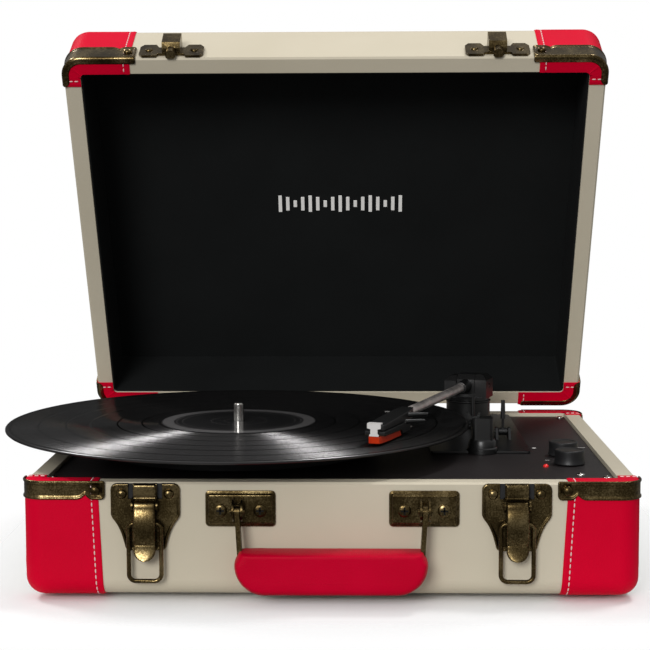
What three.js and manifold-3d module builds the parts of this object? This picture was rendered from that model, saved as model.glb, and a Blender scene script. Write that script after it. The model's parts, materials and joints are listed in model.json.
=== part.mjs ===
// A suitcase record player: a wooden case with a hinged lid, a belt-driven platter that carries a
// 12-inch record, a tonearm on a two-axis gimbal, and antique-brass luggage hardware.
// Millimetres, +Z up, +X to the right, +Y to the back. The origin is the centre of the case's underside.
import * as THREE from "three";
import { mergeVertices } from "three/addons/utils/BufferGeometryUtils.js";
import Module from "manifold-3d";

const wasm = await Module();
wasm.setup();

// ---------------------------------------------------------------- driving dimensions
const CASE_W = 356;
const CASE_D = 280;
const BASE_H = 67;
const LID_H = 50;
const WALL = 11;
const FLOOR_T = 5;
const LID_PANEL_T = 3.5;
const CORNER_R = 12; // vertical corners of the case
const EDGE_R = 10; // long edges of the base's underside and of the lid's top
const RIM_R = 1.2; // softened outer edge of the rims
const RIM_GAP = 1; // between the two rims when the case is shut
const GAP = 0.3; // between pieces that touch

const LID_OPEN = THREE.MathUtils.degToRad(61.8); // turned up from shut
const HINGE_BACK = 3.6; // lid axis behind the rear wall
const HINGE_UP = 2.4; // lid axis above the base's rim
const HINGE_X = 98;

const DECK_T = 3;
const DECK_TOP = BASE_H - 2.5;
const PLATE_T = 1.5;
const PLATE_TOP = DECK_TOP + GAP + PLATE_T;

const SPINDLE_X = -61.9;
const SPINDLE_Y = -17.8;
const SPINDLE_R = 3.3;
const RECORD_R = 149;
const RECORD_T = 2;
const RECORD_TOP = 83.9;
const MAT_T = 1.4;
const MAT_R = 86;
const PLATTER_R = 90;
const PLATTER_BOTTOM = 67;
const DRIVE_RIM_R = 63;
const PULLEY_R = 6;
const PULLEY_OFFSET = 76; // centre distance of the belt drive
const PULLEY_ANGLE = THREE.MathUtils.degToRad(60);

const ARM_X = 93; // tonearm's vertical axis
const ARM_Y = 78;
const ARM_Z = 95; // height of the tube and of its horizontal axis
const ARM_HEADING = THREE.MathUtils.degToRad(-109.4);
const COLUMN_R = 15.3;
const TUBE_R = 3;
const TUBE_END = 140;
const HEAD_END = 203;
const LIFT_R = 26; // cue bar's distance from the vertical axis

const REST_X = 95.2;
const REST_Y = -26.5;
const CUE_X = 112.5;
const CUE_Y = 20;
const CUE_Z = 71;
const SPEED_X = 80;
const AUTO_X = 106;
const SWITCH_Y = 112;
const KNOB_X = 146;
const KNOB_YS = { volume_knob: -66.8, tone_knob: -36 };

const LATCH_X = 106.7;
const LATCH_PIVOT = { y: -144.6, z: 54.2 };
const BAIL_PIVOT = { y: -145.3, z: 43.9 };
const HANDLE_XS = { left: -53.2, right: 54.1 };
const HANDLE_PLATE_XS = { left: -51.9, right: 53.7 };
const HANDLE_PIVOT = { y: -149.5, z: 52 };
const GRIP = { x: 0.4, y: -152.5, z: 17.5, halfWidth: 55.1, height: 25.4, depth: 20 };
const BRACKET_H = 11;
const LID_BRACKET_H = 15;
const BRACKET_FRONT = 48;
const BRACKET_REAR = 42; // shorter at the back, clear of the hinges
const BRACKET_SIDE = 20;
const FOOT_T = 3;

const FRONT = -CASE_D / 2;
const REAR = CASE_D / 2;
const RIM_IN_W = CASE_W - 2 * WALL;
const RIM_IN_D = CASE_D - 2 * WALL;

// ---------------------------------------------------------------- materials
function finish(color, roughness, metalness) {
  return new THREE.MeshStandardMaterial({ color, roughness, metalness });
}
const CREAM = finish(0xc4bca5, 0.55, 0);
const BRASS = finish(0x6b5a35, 0.42, 1);
const RED = finish(0xb50a2c, 0.5, 0);
const LINING = finish(0x101213, 0.9, 0);
const BLACK = finish(0x1c1b1c, 0.42, 0);
const VINYL = finish(0x131213, 0.22, 0);
const FELT = finish(0x202022, 0.95, 0);
const STEEL = finish(0xb9b5ae, 0.28, 1);
const ORANGE = finish(0xc23a12, 0.4, 0);
const RUBBER = finish(0x17171a, 0.8, 0);
const BOARD = finish(0x1d4a2c, 0.6, 0);

// ---------------------------------------------------------------- solids
function solidOf(geometry) {
  const bare = geometry.clone();
  bare.deleteAttribute("normal");
  bare.deleteAttribute("uv");
  const merged = mergeVertices(bare, 1e-4);
  const vertProperties = merged.attributes.position.array;
  const triVerts = new Uint32Array(merged.index.array);
  const made = new wasm.Manifold(new wasm.Mesh({ numProp: 3, vertProperties, triVerts }));
  if (made.volume() >= 0) return made;
  for (let i = 0; i < triVerts.length; i += 3) {
    [triVerts[i + 1], triVerts[i + 2]] = [triVerts[i + 2], triVerts[i + 1]];
  }
  return new wasm.Manifold(new wasm.Mesh({ numProp: 3, vertProperties, triVerts }));
}

function geometryOf(solid) {
  const found = solid.getMesh();
  const geometry = new THREE.BufferGeometry();
  geometry.setAttribute("position", new THREE.BufferAttribute(found.vertProperties, 3));
  geometry.setIndex(new THREE.BufferAttribute(found.triVerts, 1));
  return geometry;
}

function unite(...solids) {
  return solids.reduce((a, b) => a.add(b));
}

function box(x0, x1, y0, y1, z0, z1) {
  const made = new THREE.BoxGeometry(x1 - x0, y1 - y0, z1 - z0);
  return solidOf(made.translate((x0 + x1) / 2, (y0 + y1) / 2, (z0 + z1) / 2));
}

// A cylinder along one axis, from one value to another on that axis.
function rod(axis, r, from, to, a, b, sides = 24, endR = r) {
  const made = new THREE.CylinderGeometry(endR, r, to - from, sides).translate(0, (from + to) / 2, 0);
  if (axis === "z") made.rotateX(Math.PI / 2).scale(1, -1, 1).translate(a, b, 0);
  if (axis === "x") made.rotateZ(-Math.PI / 2).translate(0, a, b);
  if (axis === "y") made.translate(a, 0, b);
  return solidOf(made);
}

function lathe(points, x, y, sides = 48) {
  const profile = points.map(([r, z]) => new THREE.Vector2(r, z));
  return solidOf(new THREE.LatheGeometry(profile, sides).rotateX(Math.PI / 2).translate(x, y, 0));
}

function shapeOf(points) {
  return new THREE.Shape(points.map(([a, b]) => new THREE.Vector2(a, b)));
}

// A front-view outline (x, z) given thickness from y0 back to y1.
function frontPlate(shape, y0, y1, options = {}) {
  const settings = { depth: y1 - y0, bevelEnabled: false, curveSegments: 8, ...options };
  const made = new THREE.ExtrudeGeometry(shape, settings);
  return solidOf(made.rotateX(Math.PI / 2).translate(0, y1, 0));
}

// A side-view outline (y, z) given thickness from x0 to x1.
function sidePlate(shape, x0, x1, options = {}) {
  const settings = { depth: x1 - x0, bevelEnabled: false, curveSegments: 8, ...options };
  const made = new THREE.ExtrudeGeometry(shape, settings);
  return solidOf(made.rotateY(Math.PI / 2).rotateX(Math.PI / 2).translate(x0, 0, 0));
}

// A plan outline (x, y) given thickness from z0 up to z1.
function planPlate(shape, z0, z1, options = {}) {
  const settings = { depth: z1 - z0, bevelEnabled: false, curveSegments: 8, ...options };
  return solidOf(new THREE.ExtrudeGeometry(shape, settings).translate(0, 0, z0));
}

function roundedRect(x0, x1, y0, y1, r) {
  const s = new THREE.Shape();
  s.moveTo(x0 + r, y0);
  s.lineTo(x1 - r, y0);
  s.absarc(x1 - r, y0 + r, r, -Math.PI / 2, 0, false);
  s.lineTo(x1, y1 - r);
  s.absarc(x1 - r, y1 - r, r, 0, Math.PI / 2, false);
  s.lineTo(x0 + r, y1);
  s.absarc(x0 + r, y1 - r, r, Math.PI / 2, Math.PI, false);
  s.lineTo(x0, y0 + r);
  s.absarc(x0 + r, y0 + r, r, Math.PI, 1.5 * Math.PI, false);
  return s;
}

// The outline of a band round two circles: radius r1 at the origin, r2 at distance d along +X.
function bandOutline(r1, r2, d) {
  const tangent = Math.acos((r1 - r2) / d);
  const s = new THREE.Shape();
  s.absarc(0, 0, r1, tangent, 2 * Math.PI - tangent, false);
  s.absarc(d, 0, r2, -tangent, tangent, false);
  s.closePath();
  return s;
}

// ---------------------------------------------------------------- the case
function ring(w, d, r, z) {
  const points = [];
  const steps = 5;
  const corners = [[1, -1, -0.5], [1, 1, 0], [-1, 1, 0.5], [-1, -1, 1]];
  for (const [sx, sy, start] of corners) {
    for (let i = 0; i <= steps; i++) {
      const a = Math.PI * (start + (0.5 * i) / steps);
      const cx = sx * (w / 2 - r);
      const cy = sy * (d / 2 - r);
      points.push([cx + r * Math.cos(a), cy + r * Math.sin(a), z]);
    }
  }
  return points;
}

function loft(rings) {
  const n = rings[0].length;
  const vertices = rings.flat(2);
  const index = [];
  for (let k = 0; k + 1 < rings.length; k++) {
    for (let i = 0; i < n; i++) {
      const a = k * n + i;
      const b = k * n + ((i + 1) % n);
      index.push(a, b, b + n, a, b + n, a + n);
    }
  }
  const top = (rings.length - 1) * n;
  for (let i = 1; i + 1 < n; i++) {
    index.push(0, i + 1, i, top, top + i, top + i + 1);
  }
  const geometry = new THREE.BufferGeometry();
  geometry.setAttribute("position", new THREE.Float32BufferAttribute(vertices, 3));
  geometry.setIndex(index);
  return solidOf(geometry);
}

// Half a case as a solid block, rounded underneath, its rim at height h. "grow" moves its faces out.
function caseBlock(h, grow = 0) {
  const steps = 5;
  const rings = [];
  for (let i = 0; i <= steps; i++) {
    const a = (0.5 * Math.PI * i) / steps;
    const inset = EDGE_R * (1 - Math.sin(a));
    const r = Math.max(CORNER_R - inset, 3) + grow;
    const z = EDGE_R * (1 - Math.cos(a)) - grow * Math.cos(a);
    rings.push(ring(CASE_W + 2 * (grow - inset), CASE_D + 2 * (grow - inset), r, z));
  }
  const r = CORNER_R + grow;
  rings.push(ring(CASE_W + 2 * grow, CASE_D + 2 * grow, r, h - RIM_R));
  const top = r - RIM_R;
  rings.push(ring(CASE_W + 2 * grow - 2 * RIM_R, CASE_D + 2 * grow - 2 * RIM_R, top, h));
  return loft(rings);
}

function openCase(h, floor) {
  const hollow = loft([ring(RIM_IN_W, RIM_IN_D, 3, floor), ring(RIM_IN_W, RIM_IN_D, 3, h + 5)]);
  return caseBlock(h).subtract(hollow);
}

const SPEAKERS = { speaker_left: -112, speaker_right: 92 };
const SPEAKER_Y = -78;
const JACK = { x0: -150, x1: -94, z0: 18, z1: 40 };

function grilleSlots(x) {
  const slots = [-18, -9, 0, 9, 18].map((dx) => {
    const half = Math.sqrt(27 ** 2 - dx ** 2);
    return box(x + dx - 1.6, x + dx + 1.6, SPEAKER_Y - half, SPEAKER_Y + half, -2, FLOOR_T + 2);
  });
  return unite(...slots);
}

function baseShell() {
  let made = openCase(BASE_H, FLOOR_T);
  const postTop = DECK_TOP - DECK_T - GAP;
  for (const sx of [-1, 1]) {
    for (const sy of [-1, 1]) {
      const x = sx * (RIM_IN_W / 2 - 6);
      const y = sy * (RIM_IN_D / 2 - 6);
      made = made.add(box(x - 7, x + 7, y - 7, y + 7, FLOOR_T - 1, postTop));
    }
  }
  for (const x of Object.values(SPEAKERS)) made = made.subtract(grilleSlots(x));
  const window = box(JACK.x0 + 3, JACK.x1 - 3, REAR - WALL - 2, REAR + 2, JACK.z0 + 3, JACK.z1 - 3);
  return made.subtract(window);
}

function deckPlate() {
  const x = RIM_IN_W / 2 - 0.4;
  const y = RIM_IN_D / 2 - 0.4;
  const sheet = planPlate(roundedRect(-x, x, -y, y, 2.6), DECK_TOP - DECK_T, DECK_TOP, { curveSegments: 3 });
  const [px, py] = pulleyPlace();
  const hole = (r, hx, hy) => rod("z", r, DECK_TOP - 10, DECK_TOP + 5, hx, hy, 24);
  let made = sheet.subtract(hole(PULLEY_R + 2.5, px, py));
  for (const ky of Object.values(KNOB_YS)) made = made.subtract(hole(3.5, KNOB_X, ky));
  return made;
}

// ---------------------------------------------------------------- platter and drive
function pulleyPlace() {
  return [
    SPINDLE_X + PULLEY_OFFSET * Math.cos(PULLEY_ANGLE),
    SPINDLE_Y + PULLEY_OFFSET * Math.sin(PULLEY_ANGLE),
  ];
}

const RECORD_BOTTOM = RECORD_TOP - RECORD_T;
const MAT_BOTTOM = RECORD_BOTTOM - GAP - MAT_T;
const PLATTER_TOP = MAT_BOTTOM - GAP;

function platter() {
  const web = PLATTER_TOP - 2.6;
  return lathe([
    [4.2, PLATTER_TOP], [PLATTER_R - 1, PLATTER_TOP], [PLATTER_R, PLATTER_TOP - 1],
    [PLATTER_R, PLATTER_BOTTOM], [PLATTER_R - 2.5, PLATTER_BOTTOM], [PLATTER_R - 2.5, web],
    [DRIVE_RIM_R, web], [DRIVE_RIM_R, 70], [DRIVE_RIM_R - 2.5, 70], [DRIVE_RIM_R - 2.5, web],
    [9, web], [9, PLATTER_BOTTOM], [4.2, PLATTER_BOTTOM], [4.2, PLATTER_TOP],
  ], SPINDLE_X, SPINDLE_Y, 40);
}

function slipMat() {
  return lathe([
    [3.9, MAT_BOTTOM], [MAT_R, MAT_BOTTOM], [MAT_R, MAT_BOTTOM + MAT_T], [3.9, MAT_BOTTOM + MAT_T], [3.9, MAT_BOTTOM],
  ], SPINDLE_X, SPINDLE_Y, 40);
}

function record() {
  const z = RECORD_BOTTOM;
  const bevel = 0.6;
  return lathe([
    [3.65, z], [RECORD_R - bevel, z], [RECORD_R, z + bevel], [RECORD_R, z + RECORD_T - bevel],
    [RECORD_R - bevel, z + RECORD_T], [3.65, z + RECORD_T], [3.65, z],
  ], SPINDLE_X, SPINDLE_Y, 72);
}

function spindle() {
  const top = RECORD_TOP + 12.2;
  const foot = DECK_TOP + GAP;
  return lathe([
    [0, foot], [10, foot], [10, foot + 1.2], [SPINDLE_R + 0.7, foot + 1.2], [SPINDLE_R + 0.7, PLATTER_TOP - 3],
    [SPINDLE_R, PLATTER_TOP - 2], [SPINDLE_R, top - 1.5], [SPINDLE_R * 0.8, top - 0.4], [SPINDLE_R * 0.4, top], [0, top],
  ], SPINDLE_X, SPINDLE_Y, 16);
}

function driveBelt() {
  const inner = bandOutline(DRIVE_RIM_R + 0.2, PULLEY_R + 0.2, PULLEY_OFFSET);
  const outer = bandOutline(DRIVE_RIM_R + 1.2, PULLEY_R + 1.2, PULLEY_OFFSET);
  const z = 71.5;
  const made = planPlate(outer, z, z + 4, { curveSegments: 24 })
    .subtract(planPlate(inner, z - 1, z + 5, { curveSegments: 24 }));
  return made.rotate([0, 0, THREE.MathUtils.radToDeg(PULLEY_ANGLE)]).translate([SPINDLE_X, SPINDLE_Y, 0]);
}

function motorPulley() {
  const [x, y] = pulleyPlace();
  return unite(
    lathe([[0, 69.5], [8, 69.5], [8, 70.8], [PULLEY_R, 71.2], [PULLEY_R, 75.8], [7.4, 76.6], [0, 76.6]], x, y, 24),
    rod("z", 1, 50, 70, x, y, 10),
  );
}

function motor() {
  const [x, y] = pulleyPlace();
  const top = DECK_TOP - DECK_T - GAP;
  const flange = planPlate(roundedRect(x - 21, x + 21, y - 8, y + 8, 7.9), top - 1.5, top, { curveSegments: 6 });
  return unite(rod("z", 14, 30, top - 1, x, y, 20), flange).subtract(rod("z", 1.4, 45, top + 2, x, y, 12));
}

// ---------------------------------------------------------------- tonearm
// Arm pieces are drawn with u along +X from the vertical axis, v along +Y, and turned to the arm's heading.
function alongArm(solid) {
  return solid.rotate([0, 0, THREE.MathUtils.radToDeg(ARM_HEADING)]).translate([ARM_X, ARM_Y, 0]);
}

function tonearmBase() {
  const top = 84.7;
  const foot = PLATE_TOP + GAP;
  return lathe([
    [4.4, foot], [17.2, foot], [17.6, foot + 0.5], [17.6, foot + 2], [COLUMN_R + 0.2, foot + 3.2], [COLUMN_R, foot + 3.6],
    [COLUMN_R, top - 1.2], [COLUMN_R + 0.5, top - 0.9], [COLUMN_R + 0.5, top], [4.4, top], [4.4, foot],
  ], ARM_X, ARM_Y, 28);
}

// A gimbal cheek from v0 to v1, its top edges cut back by the chamfer, its outer face on the side of "out".
function cheek(v0, v1, top, out) {
  const bottom = 86.5;
  const c = 3.6;
  const outer = out > 0 ? v1 : v0;
  const inner = out > 0 ? v0 : v1;
  const across = shapeOf([[inner, bottom], [outer, bottom], [outer, top - c], [outer - out * c, top], [inner, top]]);
  const block = sidePlate(across, -10, 8);
  const along = shapeOf([[-10, bottom], [8, bottom], [8, top - c], [8 - c, top], [-10 + c, top], [-10, top - c]]);
  return block.intersect(frontPlate(along, -20, 20));
}

function gimbalYoke() {
  const disc = rod("z", COLUMN_R - 0.3, 85, 87.2, 0, 0, 24);
  const stub = rod("z", 4, 74, 86, 0, 0, 20);
  const pinHole = rod("y", 1.7, -20, 20, 0, ARM_Z, 16);
  return alongArm(unite(disc, stub, cheek(6.7, 15.2, 103, 1), cheek(-15.2, -6.7, 101.6, -1)).subtract(pinHole));
}

function armBlock() {
  const c = 3.6;
  const side = shapeOf([[-9, 88.8], [7.4, 88.8], [7.4, 102.9 - c], [7.4 - c, 102.9], [-9 + c, 102.9], [-9, 102.9 - c]]);
  const body = frontPlate(side, -6.3, 6.3);
  const trunnion = rod("y", 1.4, -15, 15, 0, ARM_Z, 16);
  const collar = rod("x", 4.7, 6, 21, 0, ARM_Z, 24, 4.2);
  return alongArm(unite(body, trunnion, collar));
}

function armTube() {
  return alongArm(rod("x", TUBE_R, 21 + GAP, TUBE_END - GAP, 0, ARM_Z, 24));
}

function headshell() {
  const side = shapeOf([
    [TUBE_END, 91.8], [TUBE_END, 98.4], [TUBE_END + 8, 98.2], [HEAD_END, 96.2], [HEAD_END, 92.8], [TUBE_END + 12, 92.6],
  ]);
  const plan = shapeOf([
    [TUBE_END - 1, -3.6], [TUBE_END + 12, -5.6], [HEAD_END - 1, -5.6], [HEAD_END + 1, -4.6],
    [HEAD_END + 1, 4.6], [HEAD_END - 1, 5.6], [TUBE_END + 12, 5.6], [TUBE_END - 1, 3.6],
  ]);
  return alongArm(frontPlate(side, -8, 8).intersect(planPlate(plan, 80, 110)));
}

function cartridge() {
  const side = shapeOf([[153, 86.2], [168, 86.2], [171, 88.9], [HEAD_END, 90], [HEAD_END, 92.4], [153, 92.2]]);
  return alongArm(frontPlate(side, -6.2, 6.2));
}

function stylus() {
  const side = shapeOf([[168.9, 85.3], [204.4, 85.3], [205.2, 89.3], [HEAD_END + 0.4, 89.6], [171.3, 88.5]]);
  const holder = frontPlate(side, -5.4, 5.4);
  const needle = rod("z", 0.15, RECORD_TOP + 0.3, 85.8, 200.5, 0, 8, 0.7);
  const nose = HEAD_END + 2.2;
  const plan = shapeOf([
    [165, -5.4], [190, -5.2], [nose - 4, -4.3], [nose, -3.1], [nose, 3.1], [nose - 4, 4.3], [190, 5.2], [165, 5.4],
  ]);
  return alongArm(unite(holder.intersect(planPlate(plan, 80, 110)), needle));
}

function fingerLift() {
  const at = TUBE_END + 1.2;
  return alongArm(planPlate(roundedRect(at, at + 3.2, -14, -4.5 - GAP, 1.2), 94.6, 95.6, { curveSegments: 4 }));
}

function armRest() {
  const foot = DECK_TOP + GAP;
  const base = lathe([
    [0, foot], [9.65, foot], [9.65, foot + 3], [9, foot + 3.8], [8.8, foot + 7.4], [7.6, foot + 9], [0, foot + 9],
  ], REST_X, REST_Y, 20);
  const post = planPlate(
    roundedRect(REST_X - 6.6, REST_X + 6.6, REST_Y - 6.2, REST_Y + 6.2, 2.4), foot + 8, 87.5, { curveSegments: 4 },
  );
  const cx = 89.7;
  const saddle = shapeOf([
    [cx - 3.2, 86.4], [cx + 3.2, 86.4], [cx + 4.4, 90.8], [cx + 3.2, 90.8], [cx + 1.7, 88.3],
    [cx - 1.7, 88.3], [cx - 3.2, 90.8], [cx - 4.4, 90.8],
  ]);
  return unite(base, post, frontPlate(saddle, REST_Y - 1.6, REST_Y + 1.6));
}

function cueLiftBar() {
  const half = 1.3;
  const from = THREE.MathUtils.degToRad(-137);
  const to = THREE.MathUtils.degToRad(-84);
  const s = new THREE.Shape();
  s.absarc(0, 0, LIFT_R + half, from, to, false);
  s.absarc(0, 0, LIFT_R - half, to, from, true);
  s.closePath();
  const arc = planPlate(s, 89.6, 91.6, { curveSegments: 12 });
  const post = rod("z", 1.3, PLATE_TOP + GAP, 90.5, LIFT_R * Math.cos(to - 0.05), LIFT_R * Math.sin(to - 0.05), 16);
  return unite(arc, post).translate([ARM_X, ARM_Y, 0]);
}

function mechanismPlate() {
  const sheet = planPlate(roundedRect(62, 126, -31, 127, 2), DECK_TOP + GAP, PLATE_TOP, { curveSegments: 3 });
  const ears = [-1, 1].map((side) => {
    const x = CUE_X + side * 4.2;
    const outline = shapeOf([
      [CUE_Y - 7, PLATE_TOP - 0.5], [CUE_Y + 8, PLATE_TOP - 0.5], [CUE_Y + 2.6, CUE_Z + 2.6], [CUE_Y - 2.6, CUE_Z + 2.6],
    ]);
    return sidePlate(outline, x - 0.9, x + 0.9);
  });
  return unite(sheet, ...ears)
    .subtract(rod("x", 1.5, CUE_X - 8, CUE_X + 8, CUE_Y, CUE_Z, 12))
    .subtract(rod("z", 10.1, DECK_TOP - 1, PLATE_TOP + 1, REST_X, REST_Y, 36));
}

function cueLever() {
  return unite(
    rod("x", 2.5, CUE_X - 2.8, CUE_X + 2.8, CUE_Y, CUE_Z, 20),
    rod("x", 1.2, CUE_X - 5.6, CUE_X + 5.6, CUE_Y, CUE_Z, 12),
    rod("z", 0.9, CUE_Z, 81, CUE_X, CUE_Y, 12),
    rod("z", 1.7, 79.6, 92, CUE_X, CUE_Y, 16, 1.3),
  );
}

function speedSelector() {
  const z = PLATE_TOP + GAP;
  return unite(
    rod("z", 5, z, z + 2.4, SPEED_X, SWITCH_Y, 28),
    box(SPEED_X - 15, SPEED_X, SWITCH_Y - 2, SWITCH_Y + 2, z + 1.2, z + 3.2),
    rod("z", 2.6, z + 1.4, z + 7.4, SPEED_X - 13, SWITCH_Y, 20, 2.1),
  );
}

function autoStopSwitch() {
  const z = PLATE_TOP + GAP;
  return unite(
    box(AUTO_X - 6, AUTO_X + 6, SWITCH_Y - 3, SWITCH_Y + 3, z, z + 1.6),
    box(AUTO_X - 2, AUTO_X + 2, SWITCH_Y - 2, SWITCH_Y + 2, z + 1, z + 5.5),
  );
}

function knob(y) {
  const foot = DECK_TOP + 0.5;
  return lathe([
    [0, 58], [3, 58], [3, foot], [9.65, foot], [9.65, foot + 0.8], [9, foot + 3.5], [8.8, foot + 6.2], [9, foot + 8],
    [8.5, foot + 8.7], [7.6, foot + 8.7], [6.6, foot + 8.2], [0, foot + 8.2],
  ], KNOB_X, y, 24);
}

// ---------------------------------------------------------------- electrics inside the base
function circuitBoard() {
  const pots = Object.values(KNOB_YS).map((y) => rod("z", 8, 51, 57.7, KNOB_X, y, 24));
  return unite(box(124, 164, -88, -14, 50, 51.6), ...pots, box(127, 135, -84, -60, 51, 57));
}

function speaker(x) {
  const z = FLOOR_T + GAP;
  return lathe([
    [0, z + 22], [15, z + 22], [15, z + 13], [20, z + 12], [33, z + 4], [37, z + 4], [37, z],
    [32, z], [30, z + 2.5], [14, z + 8], [0, z + 6],
  ], x, SPEAKER_Y, 18);
}

function jackPlate() {
  const y = REAR + GAP;
  const plate = frontPlate(roundedRect(JACK.x0, JACK.x1, JACK.z0, JACK.z1, 2), y, y + 1.5, { curveSegments: 3 });
  const z = (JACK.z0 + JACK.z1) / 2;
  const sockets = [-142, -128].map((x) => rod("y", 4.2, y - 6, y + 8, x, z, 14));
  const bores = [-142, -128].map((x) => rod("y", 1.7, y - 2, y + 9, x, z, 8));
  const inlet = rod("y", 5.5, y - 8, y + 2.5, -106, z, 16);
  const inletBore = rod("y", 2.8, y - 1.4, y + 3, -106, z, 12);
  return unite(plate, ...sockets, inlet).subtract(unite(...bores, inletBore));
}

function foot(x, y) {
  const top = -GAP;
  return lathe([[0, top], [9.5, top], [8.6, top - FOOT_T], [0, top - FOOT_T]], x, y, 16);
}

// ---------------------------------------------------------------- luggage hardware
// The bracket's outline on the front face, for the corner on the side of +X: x from the middle, z up.
function bracketOutline(rimZ, width, height) {
  const outer = CASE_W / 2 + 6;
  const inner = CASE_W / 2 - width;
  const low = rimZ - height;
  const s = new THREE.Shape();
  s.moveTo(outer, rimZ);
  s.lineTo(outer, low);
  s.lineTo(inner + 17, low);
  s.quadraticCurveTo(inner + 14, low + 0.2, inner + 11.5, low + 2.8);
  s.quadraticCurveTo(inner + 10, low + 0.2, inner + 6, low - 0.4);
  s.absarc(inner + 3.4, low + 3, 3.4, 1.5 * Math.PI, Math.PI, true);
  s.lineTo(inner, rimZ - 1);
  s.lineTo(inner + 1, rimZ);
  return s;
}

function bracket(h, rimZ, width, height) {
  const skin = caseBlock(h + 10, 1.9).subtract(caseBlock(h + 10, 1));
  const outline = bracketOutline(rimZ, width, height);
  const zone = frontPlate(outline, FRONT - 6, FRONT + BRACKET_SIDE, { curveSegments: 3 });
  const x = CASE_W / 2 - width + 5.6;
  const z = rimZ - 5.4;
  const rivet = lathe([[0, 0], [2.9, 0], [2.4, 1.3], [0, 2]], 0, 0, 12).rotate([90, 0, 0]);
  return skin.intersect(zone).add(rivet.translate([x, FRONT - 1.8, z]));
}

function mirrored(solid, sx, sy) {
  const turned = sx < 0 ? solid.mirror([1, 0, 0]) : solid;
  return sy < 0 ? turned.mirror([0, 1, 0]) : turned;
}

function rivetHead(r, height, x, y, z) {
  const head = lathe([[0, -0.6], [r, -0.6], [r, 0.3], [r * 0.8, height * 0.75], [0, height]], 0, 0, 12);
  return head.rotate([90, 0, 0]).translate([x, y, z]);
}

function latchOutline() {
  const s = new THREE.Shape();
  s.moveTo(-16.4, 66.6);
  s.lineTo(16.4, 66.6);
  s.absarc(16.4, 63, 3.6, Math.PI / 2, 0, true);
  s.lineTo(20, 48.6);
  s.quadraticCurveTo(19.6, 46.6, 17.8, 44.6);
  s.quadraticCurveTo(14, 39.5, 12.2, 30.6);
  s.absarc(9, 30.4, 3, 0, -Math.PI / 2, true);
  s.lineTo(-9, 27.4);
  s.absarc(-9, 30.4, 3, -Math.PI / 2, -Math.PI, true);
  s.quadraticCurveTo(-14, 39.5, -17.8, 44.6);
  s.quadraticCurveTo(-19.6, 46.6, -20, 48.6);
  s.lineTo(-20, 63);
  s.absarc(-16.4, 63, 3.6, Math.PI, Math.PI / 2, true);
  return s;
}

function latchPlate() {
  const y = FRONT - GAP;
  const plate = frontPlate(latchOutline(), y - 1.6, y, { curveSegments: 3 });
  const slots = [-1, 1].map((side) => box(side * 8.4 - 1.5, side * 8.4 + 1.5, y - 3, y + 1, 58, 70));
  const bridge = box(-6.4, 6.4, y - 4.6, y, 58.6, 66.2);
  const ears = [-1, 1].map((side) => {
    const outline = shapeOf([[y, 57.4], [y, 50.8], [-145.6, 52], [-147.2, 53.4], [-147.2, 55.2], [-145.6, 56.8]]);
    return sidePlate(outline, side * 7.15 - 0.5, side * 7.15 + 0.5);
  });
  const pin = rod("x", 1.1, -7.4, 7.4, LATCH_PIVOT.y, LATCH_PIVOT.z, 14);
  const rivets = [-13.5, 13.5].map((x) => rivetHead(2.9, 2, x, y - 1.6, 60.4));
  return plate.subtract(unite(...slots)).add(unite(bridge, ...ears, pin, ...rivets));
}

function latchLever() {
  const s = new THREE.Shape();
  s.moveTo(-147, 54.2);
  s.bezierCurveTo(-150.4, 49, -150.6, 39, -147.9, 31.4);
  s.quadraticCurveTo(-148, 27, -150, 20.7);
  s.lineTo(-147.9, 20.2);
  s.quadraticCurveTo(-146, 26.6, -145.7, 31.4);
  s.bezierCurveTo(-148.2, 39, -148.3, 46, -144.6, 51.8);
  const blade = sidePlate(s, -6.35, 6.35, { curveSegments: 6 });
  const hub = rod("x", 2.4, -6.35, 6.35, LATCH_PIVOT.y, LATCH_PIVOT.z, 20);
  const front = new THREE.Shape();
  front.moveTo(-6.35, 60);
  front.lineTo(-6.35, 29.2);
  front.absarc(0, 29.2, 6.5, Math.PI, 2 * Math.PI, false);
  front.lineTo(6.35, 29.2);
  front.lineTo(6.35, 60);
  const trimmed = unite(blade, hub).intersect(frontPlate(front, -160, -140, { curveSegments: 10 }));
  const barrel = unite(
    rod("x", 2.8, -6.3, 6.3, BAIL_PIVOT.y, BAIL_PIVOT.z, 16),
    box(-6.3, 6.3, -149, BAIL_PIVOT.y, BAIL_PIVOT.z - 2, BAIL_PIVOT.z + 2),
  );
  return trimmed.add(barrel)
    .subtract(rod("x", 1.65, -8, 8, BAIL_PIVOT.y, BAIL_PIVOT.z, 14))
    .subtract(rod("x", 1.35, -8, 8, LATCH_PIVOT.y, LATCH_PIVOT.z, 14));
}

// A closed wire loop hanging from the lever, in the plane y = BAIL_PIVOT.y.
function latchBail() {
  const half = 9.35;
  const r = 3.2;
  const top = BAIL_PIVOT.z;
  const bottom = 10.4;
  const path = new THREE.CurvePath();
  const p = (x, z) => new THREE.Vector3(x, BAIL_PIVOT.y, z);
  const bend = (a, corner, b) => path.add(new THREE.QuadraticBezierCurve3(a, corner, b));
  const line = (a, b) => path.add(new THREE.LineCurve3(a, b));
  line(p(0, top), p(half - r, top));
  bend(p(half - r, top), p(half, top), p(half, top - r));
  line(p(half, top - r), p(half, bottom + r));
  bend(p(half, bottom + r), p(half, bottom), p(half - r, bottom));
  line(p(half - r, bottom), p(r - half, bottom));
  bend(p(r - half, bottom), p(-half, bottom), p(-half, bottom + r));
  line(p(-half, bottom + r), p(-half, top - r));
  bend(p(-half, top - r), p(-half, top), p(r - half, top));
  line(p(r - half, top), p(0, top));
  return wireOf(path, 1.3, 32);
}

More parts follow.
